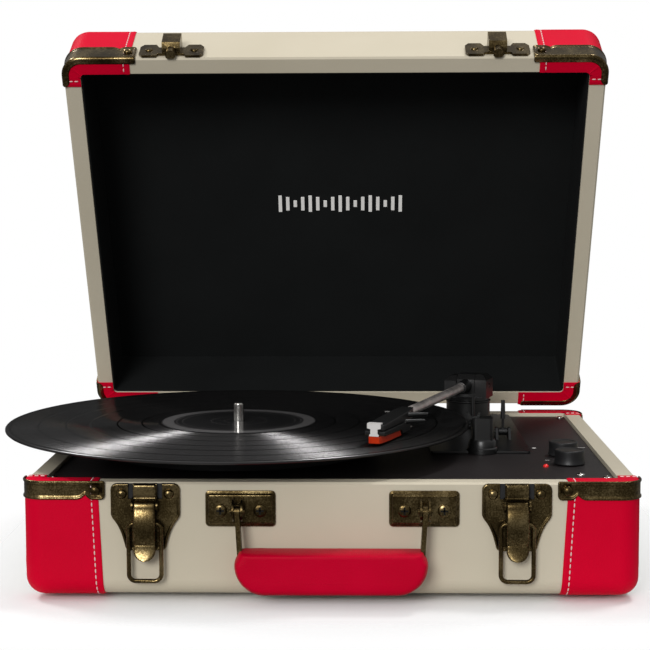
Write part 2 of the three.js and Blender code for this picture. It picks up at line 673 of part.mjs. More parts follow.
// A closed ring of wire swept along a loop that lies in a plane of constant y.
function wireOf(path, radius, steps) {
  const sides = 8;
  const vertices = [];
  const index = [];
  for (let i = 0; i < steps; i++) {
    const at = path.getPointAt(i / steps);
    const along = path.getTangentAt(i / steps);
    const across = new THREE.Vector3(-along.z, 0, along.x);
    for (let k = 0; k < sides; k++) {
      const a = (2 * Math.PI * k) / sides;
      vertices.push(
        at.x + radius * Math.cos(a) * across.x,
        at.y + radius * Math.sin(a),
        at.z + radius * Math.cos(a) * across.z,
      );
      const next = (i + 1) % steps;
      const k2 = (k + 1) % sides;
      const corners = [i * sides + k, i * sides + k2, next * sides + k2, next * sides + k];
      index.push(corners[0], corners[1], corners[2], corners[0], corners[2], corners[3]);
    }
  }
  const geometry = new THREE.BufferGeometry();
  geometry.setAttribute("position", new THREE.Float32BufferAttribute(vertices, 3));
  geometry.setIndex(index);
  return solidOf(geometry);
}

function handlePlate(side) {
  const y = FRONT - GAP;
  const x = HANDLE_PLATE_XS[side];
  const strapX = HANDLE_XS[side];
  const bevel = { bevelEnabled: true, bevelThickness: 0.9, bevelSize: 1, bevelSegments: 1, bevelOffset: -1, curveSegments: 2 };
  const whole = frontPlate(roundedRect(x - 20.2, x + 20.2, 41.5, 62.4, 2), y - 2.1, y + 0.9, bevel);
  const plate = whole.subtract(box(x - 30, x + 30, y, y + 10, 30, 70));
  const ears = [-1, 1].map((s) => {
    const ex = strapX + s * 2.6;
    const outline = shapeOf([
      [y, 58.4], [y, 45.6], [HANDLE_PIVOT.y, 49.2], [HANDLE_PIVOT.y - 2.6, 51], [HANDLE_PIVOT.y - 2.6, 53], [HANDLE_PIVOT.y, 54.8],
    ]);
    return sidePlate(outline, ex - 0.7, ex + 0.7);
  });
  const pin = rod("x", 1.5, strapX - 3.2, strapX + 3.2, HANDLE_PIVOT.y, HANDLE_PIVOT.z, 16);
  const screws = [-11.4, 11.4].map((dx) => {
    const head = rivetHead(3.6, 1.4, x + dx, y - 3, 51.2);
    const cross = unite(
      box(x + dx - 1.9, x + dx + 1.9, y - 5.4, y - 3.7, 50.8, 51.6),
      box(x + dx - 0.4, x + dx + 0.4, y - 5.4, y - 3.7, 49.3, 53.1),
    );
    return head.subtract(cross);
  });
  return unite(plate, ...ears, pin, ...screws);
}

// Two flat arms joined by the steel rod that runs through the grip. "grow" fattens it, to cut its way in the grip.
function handleStrap(grow = 0) {
  const dy = GRIP.y - HANDLE_PIVOT.y;
  const dz = GRIP.z - HANDLE_PIVOT.z;
  const length = Math.hypot(dy, dz);
  const turn = THREE.MathUtils.radToDeg(Math.atan2(dz, dy));
  const half = 1.35 + grow;
  const arms = Object.values(HANDLE_XS).map((x) => {
    const flat = planPlate(bandOutline(3.5 + grow, 3.4 + grow, length), -half, half, { curveSegments: 6 });
    const upright = flat.rotate([0, 0, turn]).rotate([90, 0, 90]);
    const eye = rod("x", 1.8, -3, 3, 0, 0, 16);
    const arm = grow > 0 ? upright : upright.subtract(eye);
    return arm.translate([x, HANDLE_PIVOT.y, HANDLE_PIVOT.z]);
  });
  return unite(...arms, rod("x", 3 + grow, HANDLE_XS.left, HANDLE_XS.right, GRIP.y, GRIP.z, 20));
}

function handleGrip() {
  const w = GRIP.halfWidth;
  const low = GRIP.z - GRIP.height / 2;
  const high = GRIP.z + GRIP.height / 2;
  const r = 16;
  const s = new THREE.Shape();
  s.moveTo(-w + r, low);
  s.lineTo(w - r, low);
  s.absarc(w - r, low + r, r, -Math.PI / 2, 0, false);
  s.lineTo(w, high - 3);
  s.lineTo(w - 3, high);
  s.lineTo(-w + 3, high);
  s.lineTo(-w, high - 3);
  s.lineTo(-w, low + r);
  s.absarc(-w + r, low + r, r, Math.PI, 1.5 * Math.PI, false);
  const b = 4.5;
  const bevel = { bevelEnabled: true, bevelThickness: b, bevelSize: b, bevelSegments: 3, bevelOffset: -b, curveSegments: 8 };
  const body = frontPlate(s, GRIP.y - GRIP.depth / 2 + b, GRIP.y + GRIP.depth / 2 - b, bevel);
  const slots = Object.values(HANDLE_XS).map((x) => {
    return box(x - 1.65, x + 1.65, HANDLE_PIVOT.y - 6.4, HANDLE_PIVOT.y + 3, GRIP.z, high + 5);
  });
  return body.translate([GRIP.x, 0, 0]).subtract(unite(handleStrap(GAP), ...slots));
}

// ---------------------------------------------------------------- hinges
function baseLeaf() {
  const y = REAR + GAP;
  const axis = BASE_H + HINGE_UP;
  const plate = box(-15, 15, y, y + 1.3, 50, axis).subtract(box(-7.1, 7.1, y - 1, y + 5, BASE_H - 0.6, axis + 3));
  const barrels = [-1, 1].map((side) => rod("x", 2.4, side > 0 ? 7.2 : -15, side > 0 ? 15 : -7.2, REAR + HINGE_BACK, axis, 20));
  const pin = rod("x", 1.2, -15, 15, REAR + HINGE_BACK, axis, 14);
  return unite(plate, ...barrels, pin);
}

// ---------------------------------------------------------------- lid, drawn shut and turned about its axis
const LID_RIM_Z = BASE_H + RIM_GAP;

function lidShell() {
  const tray = openCase(LID_H, LID_PANEL_T);
  return tray.mirror([0, 0, 1]).translate([0, 0, LID_RIM_Z + LID_H]);
}

function lidLining() {
  const g = GAP;
  const t = 0.8;
  const w = RIM_IN_W - 2 * g;
  const d = RIM_IN_D - 2 * g;
  const top = LID_RIM_Z + LID_H - LID_PANEL_T - g;
  const low = LID_RIM_Z + 1;
  const skin = loft([ring(w, d, 2.7, low), ring(w, d, 2.7, top)]);
  return skin.subtract(loft([ring(w - 2 * t, d - 2 * t, 2, low - 5), ring(w - 2 * t, d - 2 * t, 2, top - t)]));
}

function lidBracket(width) {
  const z = LID_RIM_Z + LID_H;
  return bracket(LID_H, LID_H - 0.6, width, LID_BRACKET_H).mirror([0, 0, 1]).translate([0, 0, z]);
}

function lidCatch() {
  const y = FRONT - GAP;
  const z = LID_RIM_Z + 0.6;
  const wing = (side) => {
    const s = shapeOf([
      [5 * side, z + 3], [8.5 * side, z + 3], [9.6 * side, z], [19 * side, z], [21 * side, z + 3],
      [21 * side, z + 13.5], [18.6 * side, z + 17], [10.6 * side, z + 17], [8.6 * side, z + 12.6], [5 * side, z + 12.6],
    ]);
    return frontPlate(s, y - 1.6, y);
  };
  const hook = shapeOf([
    [y, z + 4], [y - 5, z + 4], [y - 8.2, z + 6], [y - 9, z + 18.6], [y - 7, z + 19.6], [y, z + 19.6],
  ]);
  const nub = rod("z", 3.4, z - 2.2, z + 5, 0, y - 2.6, 20).intersect(box(-6, 6, y - 8, y, z - 4, z + 6));
  const rivets = [-1, 1].map((side) => rivetHead(2.7, 1.2, side * 15, y - 1.6, z + 8.6));
  return unite(wing(-1), wing(1), box(-6, 6, y - 1.6, y, z + 3, z + 14), sidePlate(hook, -6, 6), nub, ...rivets);
}

function lidLeaf() {
  const y = REAR + GAP;
  const axis = BASE_H + HINGE_UP;
  const plate = box(-15, 15, y, y + 1.3, axis, axis + 17);
  const cleared = plate.subtract(unite(box(-16, -6.8, y - 1, y + 5, axis - 3, axis + 3), box(6.8, 16, y - 1, y + 5, axis - 3, axis + 3)));
  const barrel = rod("x", 2.4, -6.8, 6.8, REAR + HINGE_BACK, axis, 20);
  return unite(cleared, barrel).subtract(rod("x", 1.5, -20, 20, REAR + HINGE_BACK, axis, 14));
}

// ---------------------------------------------------------------- the object
const object = new THREE.Group();

function add(parent, name, solid, material) {
  const mesh = new THREE.Mesh(geometryOf(solid), material);
  mesh.name = name;
  parent.add(mesh);
}

const SIDES = { left: -1, right: 1 };
const ENDS = { front: 1, rear: -1 };

function addBase(parent) {
  add(parent, "base_shell", baseShell(), CREAM);
  add(parent, "deck_plate", deckPlate(), BLACK);
  add(parent, "mechanism_plate", mechanismPlate(), BLACK);
  for (const [end, sy] of Object.entries(ENDS)) {
    const corner = bracket(BASE_H, BASE_H + 0.4, sy > 0 ? BRACKET_FRONT : BRACKET_REAR, BRACKET_H);
    for (const [side, sx] of Object.entries(SIDES)) {
      add(parent, `base_bracket_${end}_${side}`, mirrored(corner, sx, sy), BRASS);
      add(parent, `foot_${end}_${side}`, foot(sx * 150, -sy * 112), RUBBER);
    }
  }
  for (const [name, x] of Object.entries(SPEAKERS)) add(parent, name, speaker(x), BLACK);
  add(parent, "circuit_board", circuitBoard(), BOARD);
  add(parent, "jack_plate", jackPlate(), BLACK);
  for (const [name, y] of Object.entries(KNOB_YS)) add(parent, name, knob(y), BLACK);
}

function addDrive(parent) {
  add(parent, "spindle", spindle(), STEEL);
  add(parent, "platter", platter(), BLACK);
  add(parent, "slip_mat", slipMat(), FELT);
  add(parent, "record", record(), VINYL);
  add(parent, "drive_belt", driveBelt(), RUBBER);
  add(parent, "motor_pulley", motorPulley(), STEEL);
  add(parent, "motor", motor(), STEEL);
}

function addTonearm(parent) {
  add(parent, "tonearm_base", tonearmBase(), BLACK);
  add(parent, "gimbal_yoke", gimbalYoke(), BLACK);
  add(parent, "arm_block", armBlock(), BLACK);
  add(parent, "arm_tube", armTube(), STEEL);
  add(parent, "headshell", headshell(), BLACK);
  add(parent, "cartridge", cartridge(), BLACK);
  add(parent, "stylus", stylus(), ORANGE);
  add(parent, "finger_lift", fingerLift(), STEEL);
  add(parent, "arm_rest", armRest(), BLACK);
  add(parent, "cue_lift_bar", cueLiftBar(), BLACK);
  add(parent, "cue_lever", cueLever(), BLACK);
  add(parent, "speed_selector", speedSelector(), BLACK);
  add(parent, "auto_stop_switch", autoStopSwitch(), BLACK);
}

function addFrontHardware(parent) {
  for (const [side, sx] of Object.entries(SIDES)) {
    const x = sx * LATCH_X;
    add(parent, `latch_plate_${side}`, latchPlate().translate([x, 0, 0]), BRASS);
    add(parent, `latch_lever_${side}`, latchLever().translate([x, 0, 0]), BRASS);
    add(parent, `latch_bail_${side}`, latchBail().translate([x, 0, 0]), BRASS);
    add(parent, `handle_plate_${side}`, handlePlate(side), BRASS);
    add(parent, `hinge_leaf_base_${side}`, baseLeaf().translate([sx * HINGE_X, 0, 0]), BRASS);
  }
  add(parent, "handle_strap", handleStrap(), BRASS);
  add(parent, "handle_grip", handleGrip(), RED);
}

function addLid(parent) {
  const pivot = new THREE.Group();
  pivot.position.set(0, REAR + HINGE_BACK, BASE_H + HINGE_UP);
  pivot.rotation.x = -LID_OPEN;
  parent.add(pivot);
  const shut = new THREE.Group();
  shut.position.set(0, -REAR - HINGE_BACK, -BASE_H - HINGE_UP);
  pivot.add(shut);
  add(shut, "lid_shell", lidShell(), CREAM);
  add(shut, "lid_lining", lidLining(), LINING);
  for (const [end, sy] of Object.entries(ENDS)) {
    const corner = lidBracket(sy > 0 ? BRACKET_FRONT : BRACKET_REAR);
    for (const [side, sx] of Object.entries(SIDES)) {
      add(shut, `lid_bracket_${end}_${side}`, mirrored(corner, sx, sy), BRASS);
    }
  }
  for (const [side, sx] of Object.entries(SIDES)) {
    add(shut, `lid_catch_${side}`, lidCatch().translate([sx * LATCH_X, 0, 0]), BRASS);
    add(shut, `hinge_leaf_lid_${side}`, lidLeaf().translate([sx * HINGE_X, 0, 0]), BRASS);
  }
}

addBase(object);
addDrive(object);
addTonearm(object);
addFrontHardware(object);
addLid(object);

export default object;
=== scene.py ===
"""The looks of a suitcase record player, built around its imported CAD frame. Metres, +Z up, front towards -Y."""
import contextlib
import json
import math
import random
import bmesh
import bpy
from mathutils import Matrix, Vector, noise


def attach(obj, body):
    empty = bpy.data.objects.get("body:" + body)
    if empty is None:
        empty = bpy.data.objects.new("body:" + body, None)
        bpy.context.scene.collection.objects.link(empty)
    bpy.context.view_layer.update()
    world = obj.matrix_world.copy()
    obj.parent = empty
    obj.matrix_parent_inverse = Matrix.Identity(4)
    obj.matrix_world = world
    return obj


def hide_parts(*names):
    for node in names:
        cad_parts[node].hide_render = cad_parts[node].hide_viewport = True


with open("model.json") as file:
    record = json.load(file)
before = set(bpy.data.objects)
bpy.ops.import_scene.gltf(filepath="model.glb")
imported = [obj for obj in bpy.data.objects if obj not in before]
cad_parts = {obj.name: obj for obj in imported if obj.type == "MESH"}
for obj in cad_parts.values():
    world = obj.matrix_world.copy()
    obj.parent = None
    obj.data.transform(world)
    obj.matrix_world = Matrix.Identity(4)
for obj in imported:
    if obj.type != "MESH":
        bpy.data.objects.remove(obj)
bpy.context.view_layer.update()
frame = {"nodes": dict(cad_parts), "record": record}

NODES = frame["nodes"]
MM = 0.001

# ---- driving dimensions, as in the CAD (mm)
CASE_W, CASE_D, BASE_H, LID_H = 356, 280, 67, 50
CORNER_R, EDGE_R, RIM_R, WALL = 12, 10, 1.2, 11
LID_RIM_Z = BASE_H + 1
HINGE = Vector((0, CASE_D / 2 + 3.6, BASE_H + 2.4))
LID_OPEN = 61.8
LID_TURN = Matrix.Rotation(math.radians(-LID_OPEN), 4, "X")
DECK_TOP = BASE_H - 2.5
SPINDLE = (-61.9, -17.8)
RECORD_R, RECORD_TOP, RECORD_T, LABEL_R = 149.0, 83.9, 2.0, 50.0
TRACKS = (62.5, 78.2, 95.6, 110.9, 128.3, 146.0)
PLATTER_R, PLATTER_BOTTOM, PLATTER_TOP = 90, 67, 79.9
ARM = (93, 78)
ARM_HEADING = math.radians(-109.4)
KNOB_X = 146
FLOOR_Z = -3.3
NODE_BODY = {n: b for b, nodes in frame["record"]["behaviour"]["bodies"].items() for n in nodes}
SIDES = (("left", -1), ("right", 1))
CORNERS = [(f"{end}_{side}", sx, sy) for end, sy in (("front", 1), ("rear", -1)) for side, sx in SIDES]


# ---- node materials
class Nodes:
    """Short calls that add nodes to one tree."""

    def __init__(self, tree):
        self.t = tree

    def set(self, n, values):
        for key, value in values.items():
            socket = n.inputs[key]
            if isinstance(value, bpy.types.NodeSocket):
                self.t.links.new(value, socket)
            else:
                socket.default_value = value

    def node(self, kind, values=None, **props):
        n = self.t.nodes.new(kind)
        for key, value in props.items():
            setattr(n, key, value)
        self.set(n, values or {})
        return n

    def noise(self, scale, detail=3.0, rough=0.55, co=None, distortion=0.0):
        n = self.node("ShaderNodeTexNoise", {"Vector": co or self.co, "Scale": scale, "Detail": detail,
                                             "Roughness": rough, "Distortion": distortion})
        return n.outputs["Fac"]

    def cells(self, scale, feature="F1", co=None, random_=1.0):
        n = self.node("ShaderNodeTexVoronoi", {"Vector": co or self.co, "Scale": scale, "Randomness": random_},
                      feature=feature)
        return n.outputs["Distance"]

    def ramp(self, fac, *stops):
        n = self.node("ShaderNodeValToRGB", {"Fac": fac})
        e = n.color_ramp.elements
        while len(e) < len(stops):
            e.new(0.5)
        for el, (pos, colour) in zip(e, stops):
            el.position = pos
            el.color = colour if len(colour) == 4 else rgb(colour)
        return n.outputs["Color"]

    def span(self, fac, lo, hi, a=0.0, b=1.0, **props):
        n = self.node("ShaderNodeMapRange", {"Value": fac, "From Min": lo, "From Max": hi, "To Min": a, "To Max": b},
                      **props)
        return n.outputs["Result"]

    def math(self, op, a, b=0.0, c=0.0):
        n = self.node("ShaderNodeMath", operation=op)
        for i, value in enumerate((a, b, c)):
            if isinstance(value, bpy.types.NodeSocket):
                self.t.links.new(value, n.inputs[i])
            else:
                n.inputs[i].default_value = value
        return n.outputs[0]

    def total(self, *terms):
        """The sum of two values, each with its weight."""
        return self.math("ADD", *[self.math("MULTIPLY", value, weight) for value, weight in terms])

    def length(self, x, y):
        return self.math("SQRT", self.total((x, x), (y, y)))

    def vector(self, op, a, b=None):
        n = self.node("ShaderNodeVectorMath", operation=op)
        for i, value in enumerate((a, b)):
            if value is not None:
                self.t.links.new(value, n.inputs[i])
        return n.outputs[0]

    def mix(self, fac, a, b, blend="MIX"):
        n = self.node("ShaderNodeMix", data_type="RGBA", blend_type=blend)
        for key, value in ((0, fac), (6, a), (7, b)):
            if isinstance(value, bpy.types.NodeSocket):
                self.t.links.new(value, n.inputs[key])
            else:
                n.inputs[key].default_value = value if key == 0 else rgb(value)
        return n.outputs[2]

    def bump(self, height, distance, strength=1.0, normal=None):
        values = {"Height": height, "Distance": distance, "Strength": strength}
        if normal is not None:
            values["Normal"] = normal
        return self.node("ShaderNodeBump", values).outputs["Normal"]

class Mat(Nodes):
    """A Principled material."""

    def __init__(self, name, base, rough, metal=0.0, **sockets):
        self.m = bpy.data.materials.new(name)
        self.m.use_nodes = True
        super().__init__(self.m.node_tree)
        self.p = self.t.nodes["Principled BSDF"]
        self.co = self.node("ShaderNodeTexCoord").outputs["Object"]
        self.out(Base_Color=rgb(base), Roughness=rough, Metallic=metal, **sockets)

    def out(self, **sockets):
        self.set(self.p, {k.replace("_", " "): v for k, v in sockets.items()})
        return self.m


def rgb(c):
    """An sRGB colour of 0-255 values as linear RGBA."""
    if len(c) == 4:
        return c
    lin = [(v / 255) / 12.92 if v <= 10 else ((v / 255 + 0.055) / 1.055) ** 2.4 for v in c]
    return (*lin, 1.0)


def leather(name, base, dark, rough, grain, depth):
    """Embossed leather cloth: pebbled cells, fine pores and slow tone changes."""
    k = Mat(name, base, rough, Specular_IOR_Level=0.05)
    tone = k.mix(k.span(k.noise(22, 3), 0.3, 0.75), dark, base)
    cells = k.cells(grain, "DISTANCE_TO_EDGE")
    tone = k.mix(k.span(cells, 0.0, 0.12, 0.22, 0.0), tone, dark)
    fine = k.noise(grain * 3.2, 2)
    height = k.total((k.span(cells, 0.0, 0.32), 0.7), (fine, 0.5))
    return k.out(Base_Color=tone, Roughness=k.span(fine, 0.3, 0.7, rough - 0.06, rough + 0.08),
                 Normal=k.bump(height, depth))


def make_cream():
    """Smooth off-white vinyl cloth with a very fine grain."""
    base, dark = (199, 190, 170), (191, 182, 161)
    k = Mat("cream_cloth", base, 0.45, Specular_IOR_Level=0.2)
    tone = k.mix(k.span(k.noise(9, 4), 0.3, 0.72), dark, base)
    fine = k.noise(2600, 2)
    height = k.total((k.span(k.cells(1500, "DISTANCE_TO_EDGE"), 0, 0.3), 0.5), (fine, 0.5))
    return k.out(Base_Color=tone, Roughness=k.span(fine, 0.3, 0.7, 0.4, 0.54), Normal=k.bump(height, 0.00005, 0.7))


def make_brass():
    """Antique brass: a dark brown patina that thins to warm metal in small patches."""
    k = Mat("antique_brass", (70, 58, 36), 0.3, 1.0)
    small = k.noise(1100, 3, 0.6)
    wear = k.total((k.noise(70, 3, 0.5), 0.5), (small, 0.5))
    tone = k.ramp(wear, (0.37, (50, 40, 23)), (0.5, (82, 69, 43)), (0.62, (134, 117, 82)))
    return k.out(Base_Color=tone, Roughness=k.span(wear, 0.35, 0.65, 0.32, 0.2), Normal=k.bump(small, 0.00003, 0.5))


def make_plastic(name, base, rough, texture=0.00003, scale=2600, gloss=0.5):
    k = Mat(name, base, rough, Specular_IOR_Level=gloss)
    fine = k.noise(scale, 2)
    light = tuple(min(255, v + 7) for v in base)
    tone = k.mix(k.span(k.noise(60, 4), 0.35, 0.75), base, light)
    return k.out(Base_Color=tone, Roughness=k.span(fine, 0.3, 0.7, rough - 0.05, rough + 0.07),
                 Normal=k.bump(fine, texture, 0.6))


def make_metal(name, base, rough, brushed=(1, 1, 1), scale=700):
    k = Mat(name, base, rough, 1.0)
    co = k.node("ShaderNodeMapping", {"Vector": k.co, "Scale": brushed}).outputs["Vector"]
    fine = k.noise(scale, 3, 0.6, co)
    dark = tuple(int(v * 0.86) for v in base)
    return k.out(Base_Color=k.mix(fine, dark, base), Roughness=k.span(fine, 0.3, 0.7, rough - 0.05, rough + 0.07),
                 Normal=k.bump(fine, 0.00001, 0.4))


def radius_from(k, centre):
    """Distance in mm from a vertical axis."""
    co = k.node("ShaderNodeSeparateXYZ", {"Vector": k.co})
    x = k.math("SUBTRACT", co.outputs["X"], centre[0] * MM)
    y = k.math("SUBTRACT", co.outputs["Y"], centre[1] * MM)
    return k.math("MULTIPLY", k.length(x, y), 1000)


def make_vinyl():
    """Pressed vinyl: fine rings tilt the surface one way and the other like the walls of grooves, so each distant
    light shows as a bright wedge that points to the middle."""
    k = Mat("vinyl", (70, 69, 69), 0.3, 0.88, Specular_IOR_Level=0.5, Specular_Tint=(0.35, 0.35, 0.35, 1))
    r = radius_from(k, SPINDLE)
    bands = k.node("ShaderNodeCombineXYZ", {"X": r})
    slow = k.noise(0.35, 3, 0.6, bands.outputs["Vector"])
    fine = k.noise(2.6, 2, 0.6, bands.outputs["Vector"])
    rough = k.math("ADD", k.span(slow, 0.35, 0.65, 0.18, 0.26), k.span(fine, 0.3, 0.7, -0.02, 0.03))
    tone = k.mix(k.span(slow, 0.3, 0.7), (72, 71, 71), (80, 79, 79))
    gaps = 0.0
    for track in TRACKS:
        gaps = k.math("MAXIMUM", k.math("COMPARE", r, track, 0.55), gaps)
    tone = k.mix(gaps, tone, (22, 22, 22))
    along = k.node("ShaderNodeTangent", direction_type="RADIAL", axis="Z").outputs["Tangent"]
    normal = k.node("ShaderNodeNewGeometry").outputs["Normal"]
    across = k.vector("CROSS_PRODUCT", along, normal)
    played = k.math("MULTIPLY", k.math("GREATER_THAN", r, LABEL_R + 2), k.math("LESS_THAN", r, RECORD_R - 1.6))
    played = k.math("MULTIPLY", played, k.math("SUBTRACT", 1.0, gaps))
    turn = k.math("FRACT", k.math("MULTIPLY", r, 9.7))
    side = k.math("SIGN", k.math("SUBTRACT", turn, 0.5))
    steep = k.span(k.math("FRACT", k.math("MULTIPLY", turn, 7.0)), 0, 1, 0.66, 0.9)
    wall = k.math("MULTIPLY", k.math("MULTIPLY", side, steep), played)
    wall = k.node("ShaderNodeCombineXYZ", {"X": wall, "Y": wall, "Z": wall}).outputs[0]
    normal = k.vector("NORMALIZE", k.vector("ADD", normal, k.vector("MULTIPLY", across, wall)))
    return k.out(Base_Color=tone, Roughness=rough, Normal=normal)


def make_lining():
    """Black flocked paper glued inside the lid."""
    k = Mat("lining", (12, 14, 14), 0.85, Specular_IOR_Level=0.2)
    fine = k.noise(1700, 3, 0.65)
    tone = k.mix(k.span(k.noise(14, 3), 0.3, 0.7), (10, 12, 12), (16, 18, 18))
    tone = k.mix(k.span(fine, 0.5, 0.85, 0, 0.5), tone, (32, 34, 35))
    return k.out(Base_Color=tone, Roughness=k.span(fine, 0.3, 0.7, 0.75, 0.95), Normal=k.bump(fine, 0.0001, 0.8))


def make_deck():
    """Dark brown-black textured coating on the metal deck."""
    k = Mat("deck_coating", (30, 25, 25), 0.5, Specular_IOR_Level=0.35)
    fine = k.noise(1500, 3, 0.6)
    height = k.total((k.cells(900), 0.8), (fine, 0.5))
    tone = k.mix(k.span(k.noise(18, 3), 0.3, 0.7), (22, 18, 18), (32, 26, 26))
    return k.out(Base_Color=tone, Roughness=k.span(fine, 0.3, 0.7, 0.42, 0.58), Normal=k.bump(height, 0.00006, 0.6))


def make_felt():
    k = Mat("felt", (16, 16, 17), 0.95, Specular_IOR_Level=0.15)
    fibre = k.noise(1400, 5, 0.7, distortion=1.5)
    return k.out(Base_Color=k.mix(fibre, (8, 8, 9), (26, 26, 28)), Normal=k.bump(fibre, 0.0002, 0.9))


def make_thread():
    k = Mat("thread", (232, 196, 194), 0.7)
    twist = k.noise(3500, 2)
    return k.out(Base_Color=k.mix(twist, (206, 158, 158), (240, 218, 214)), Normal=k.bump(twist, 0.00008, 0.8))


def make_stylus():
    k = Mat("stylus_orange", (196, 44, 10), 0.25, Coat_Weight=0.4, Coat_Roughness=0.1)
    tone = k.mix(k.noise(260, 2), (176, 32, 6), (206, 60, 16))
    return k.out(Base_Color=tone)


def make_label():
    """A plain paper label: a black field inside a grey band, and fine rings. No lettering."""
    k = Mat("record_label", (20, 19, 20), 0.4, Coat_Weight=0.8, Coat_Roughness=0.08)
    r = radius_from(k, SPINDLE)
    paper = k.noise(900, 3)
    band = k.math("MULTIPLY", k.math("GREATER_THAN", r, 42.0), k.math("LESS_THAN", r, 49.3))
    rings = k.math("COMPARE", r, 40.3, 0.35)
    for radius in (36.5, 18.0, 9.5):
        rings = k.math("MAXIMUM", k.math("COMPARE", r, radius, 0.25), rings)
    tone = k.mix(k.span(paper, 0.3, 0.7), (14, 13, 14), (22, 21, 22))
    silver = k.mix(k.span(paper, 0.3, 0.7), (92, 90, 90), (106, 104, 104))
    tone = k.mix(band, tone, silver)
    tone = k.mix(k.math("MULTIPLY", rings, 0.6), tone, (96, 93, 93))
    return k.out(Base_Color=tone, Normal=k.bump(paper, 0.00002, 0.4))


def make_board():
    k = Mat("circuit_board", (20, 70, 38), 0.4)
    cells = k.cells(180, random_=0.6)
    tone = k.mix(k.math("GREATER_THAN", cells, 0.5), (18, 66, 36), (34, 92, 54))
    return k.out(Base_Color=tone, Normal=k.bump(cells, 0.00005, 0.5))


def make_floor():
    """A pale floor that is there around the case and thins away into the white studio further out."""
    k = Mat("floor_paint", (240, 240, 240), 0.6)
    fine = k.noise(30, 3)
    co = k.node("ShaderNodeSeparateXYZ", {"Vector": k.co})
    dx = k.math("MAXIMUM", k.math("SUBTRACT", k.math("ABSOLUTE", co.outputs["X"]), 0.17), 0.0)
    dy = k.math("MAXIMUM", k.math("SUBTRACT", k.math("ABSOLUTE", co.outputs["Y"]), 0.13), 0.0)
    there = k.math("POWER", k.span(k.length(dx, dy), 0.0, 0.14, 1.0, 0.0), 2.6)
    return k.out(Base_Color=k.mix(fine, (239, 239, 239), (243, 243, 243)), Alpha=there)


M = {
    "cream": make_cream(),
    "red": leather("red_leather", (206, 0, 42), (197, 0, 38), 0.46, 800, 0.00009),
    "grip": leather("grip_leather", (192, 0, 42), (180, 0, 36), 0.4, 760, 0.0001),
    "brass": make_brass(),
    "plastic": make_plastic("black_plastic", (13, 13, 13), 0.32, gloss=0.5),
    "knob": make_plastic("knob_plastic", (20, 20, 21), 0.42, gloss=0.35),
    "speaker": make_plastic("speaker_paper", (16, 16, 17), 0.85, 0.0002, 900),
    "rubber": make_plastic("rubber", (22, 22, 24), 0.8, 0.0001, 1500),
    "platter": make_plastic("platter_paint", (10, 9, 9), 0.4, gloss=0.2),
    "chrome": make_metal("bright_metal", (206, 203, 198), 0.16),
    "steel": make_metal("motor_steel", (150, 150, 150), 0.4, (1, 1, 12)),
    "tube": make_metal("tube_aluminium", (242, 233, 229), 0.42, scale=90),
    "vinyl": make_vinyl(),
    "lining": make_lining(),
    "deck": make_deck(),
    "felt": make_felt(),
    "thread": make_thread(),
    "stylus": make_stylus(),
    "label": make_label(),
    "board": make_board(),
    "white": make_plastic("white_ink", (214, 210, 206), 0.6),
    "lamp": make_plastic("lamp_red", (225, 32, 30), 0.3),
    "silver": make_plastic("silver_plate", (208, 205, 202), 0.3),
    "silver_ink": make_plastic("silver_ink", (244, 242, 238), 0.4),
}


# ---- mesh helpers
@contextlib.contextmanager
def edited(me):
    """The mesh as a bmesh, written back afterwards."""
    bm = bmesh.new()
    bm.from_mesh(me)
    yield bm
    bm.to_mesh(me)
    bm.free()


def new_object(name, data):
    o = bpy.data.objects.new(name, data)
    bpy.context.scene.collection.objects.link(o)
    return o


def finish_mesh(name, me, mat, body, slot, replaces=(), smooth=32, recalc=True):
    if recalc:
        with edited(me) as bm:
            bmesh.ops.recalc_face_normals(bm, faces=bm.faces)
    me.polygons.foreach_set("use_smooth", [True] * len(me.polygons))
    me.set_sharp_from_angle(angle=math.radians(smooth))
    me.materials.clear()
    me.materials.append(mat)
    o = new_object(name, me)
    even = o.modifiers.new("even_faces", "WEIGHTED_NORMAL")
    even.keep_sharp = True
    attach(o, body)
    if replaces:
        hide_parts(*replaces)
    return o


def brass_skin(node, me, body, smooth):
    finish_mesh(node + "_skin", me, M["brass"], body, "antique_brass", [node], smooth)


def detail(name, parts, mat, body, slot, smooth):
    """A small piece made only of these parts."""
    finish_mesh(name, join_parts(name, parts), M[mat], body, slot, smooth=smooth)


def mesh_from(name, verts, faces):
    """A mesh from points in mm."""
    me = bpy.data.meshes.new(name)
    me.from_pydata([tuple(c * MM for c in v) for v in verts], [], faces)
    me.update()
    return me


def join_parts(name, parts):
    """One mesh from several (verts, faces) lists."""
    verts, faces = [], []
    for v, f in parts:
        n = len(verts)
        verts += v
        faces += [tuple(i + n for i in face) for face in f]
    return mesh_from(name, verts, faces)


def grid_faces(rows, cols, close_rows=False, close_cols=False):
    faces = []
    for i in range(rows if close_rows else rows - 1):
        for j in range(cols if close_cols else cols - 1):
            a, b = i * cols + j, i * cols + (j + 1) % cols
            c, d = ((i + 1) % rows) * cols + (j + 1) % cols, ((i + 1) % rows) * cols + j
            faces.append((a, b, c, d))
    return faces
def skin_faces(rows, cols):
    """Faces for an outer grid of points and then an inner one, closed all round their edge."""
    n = rows * cols
    faces = grid_faces(rows, cols)
    faces += [tuple(k + n for k in reversed(f)) for f in faces]
    rim = list(range(cols)) + [i * cols + cols - 1 for i in range(1, rows)]
    rim += [(rows - 1) * cols + j for j in range(cols - 2, -1, -1)] + [i * cols for i in range(rows - 2, 0, -1)]
    return faces + [(a, b, b + n, a + n) for a, b in zip(rim, rim[1:] + rim[:1])]

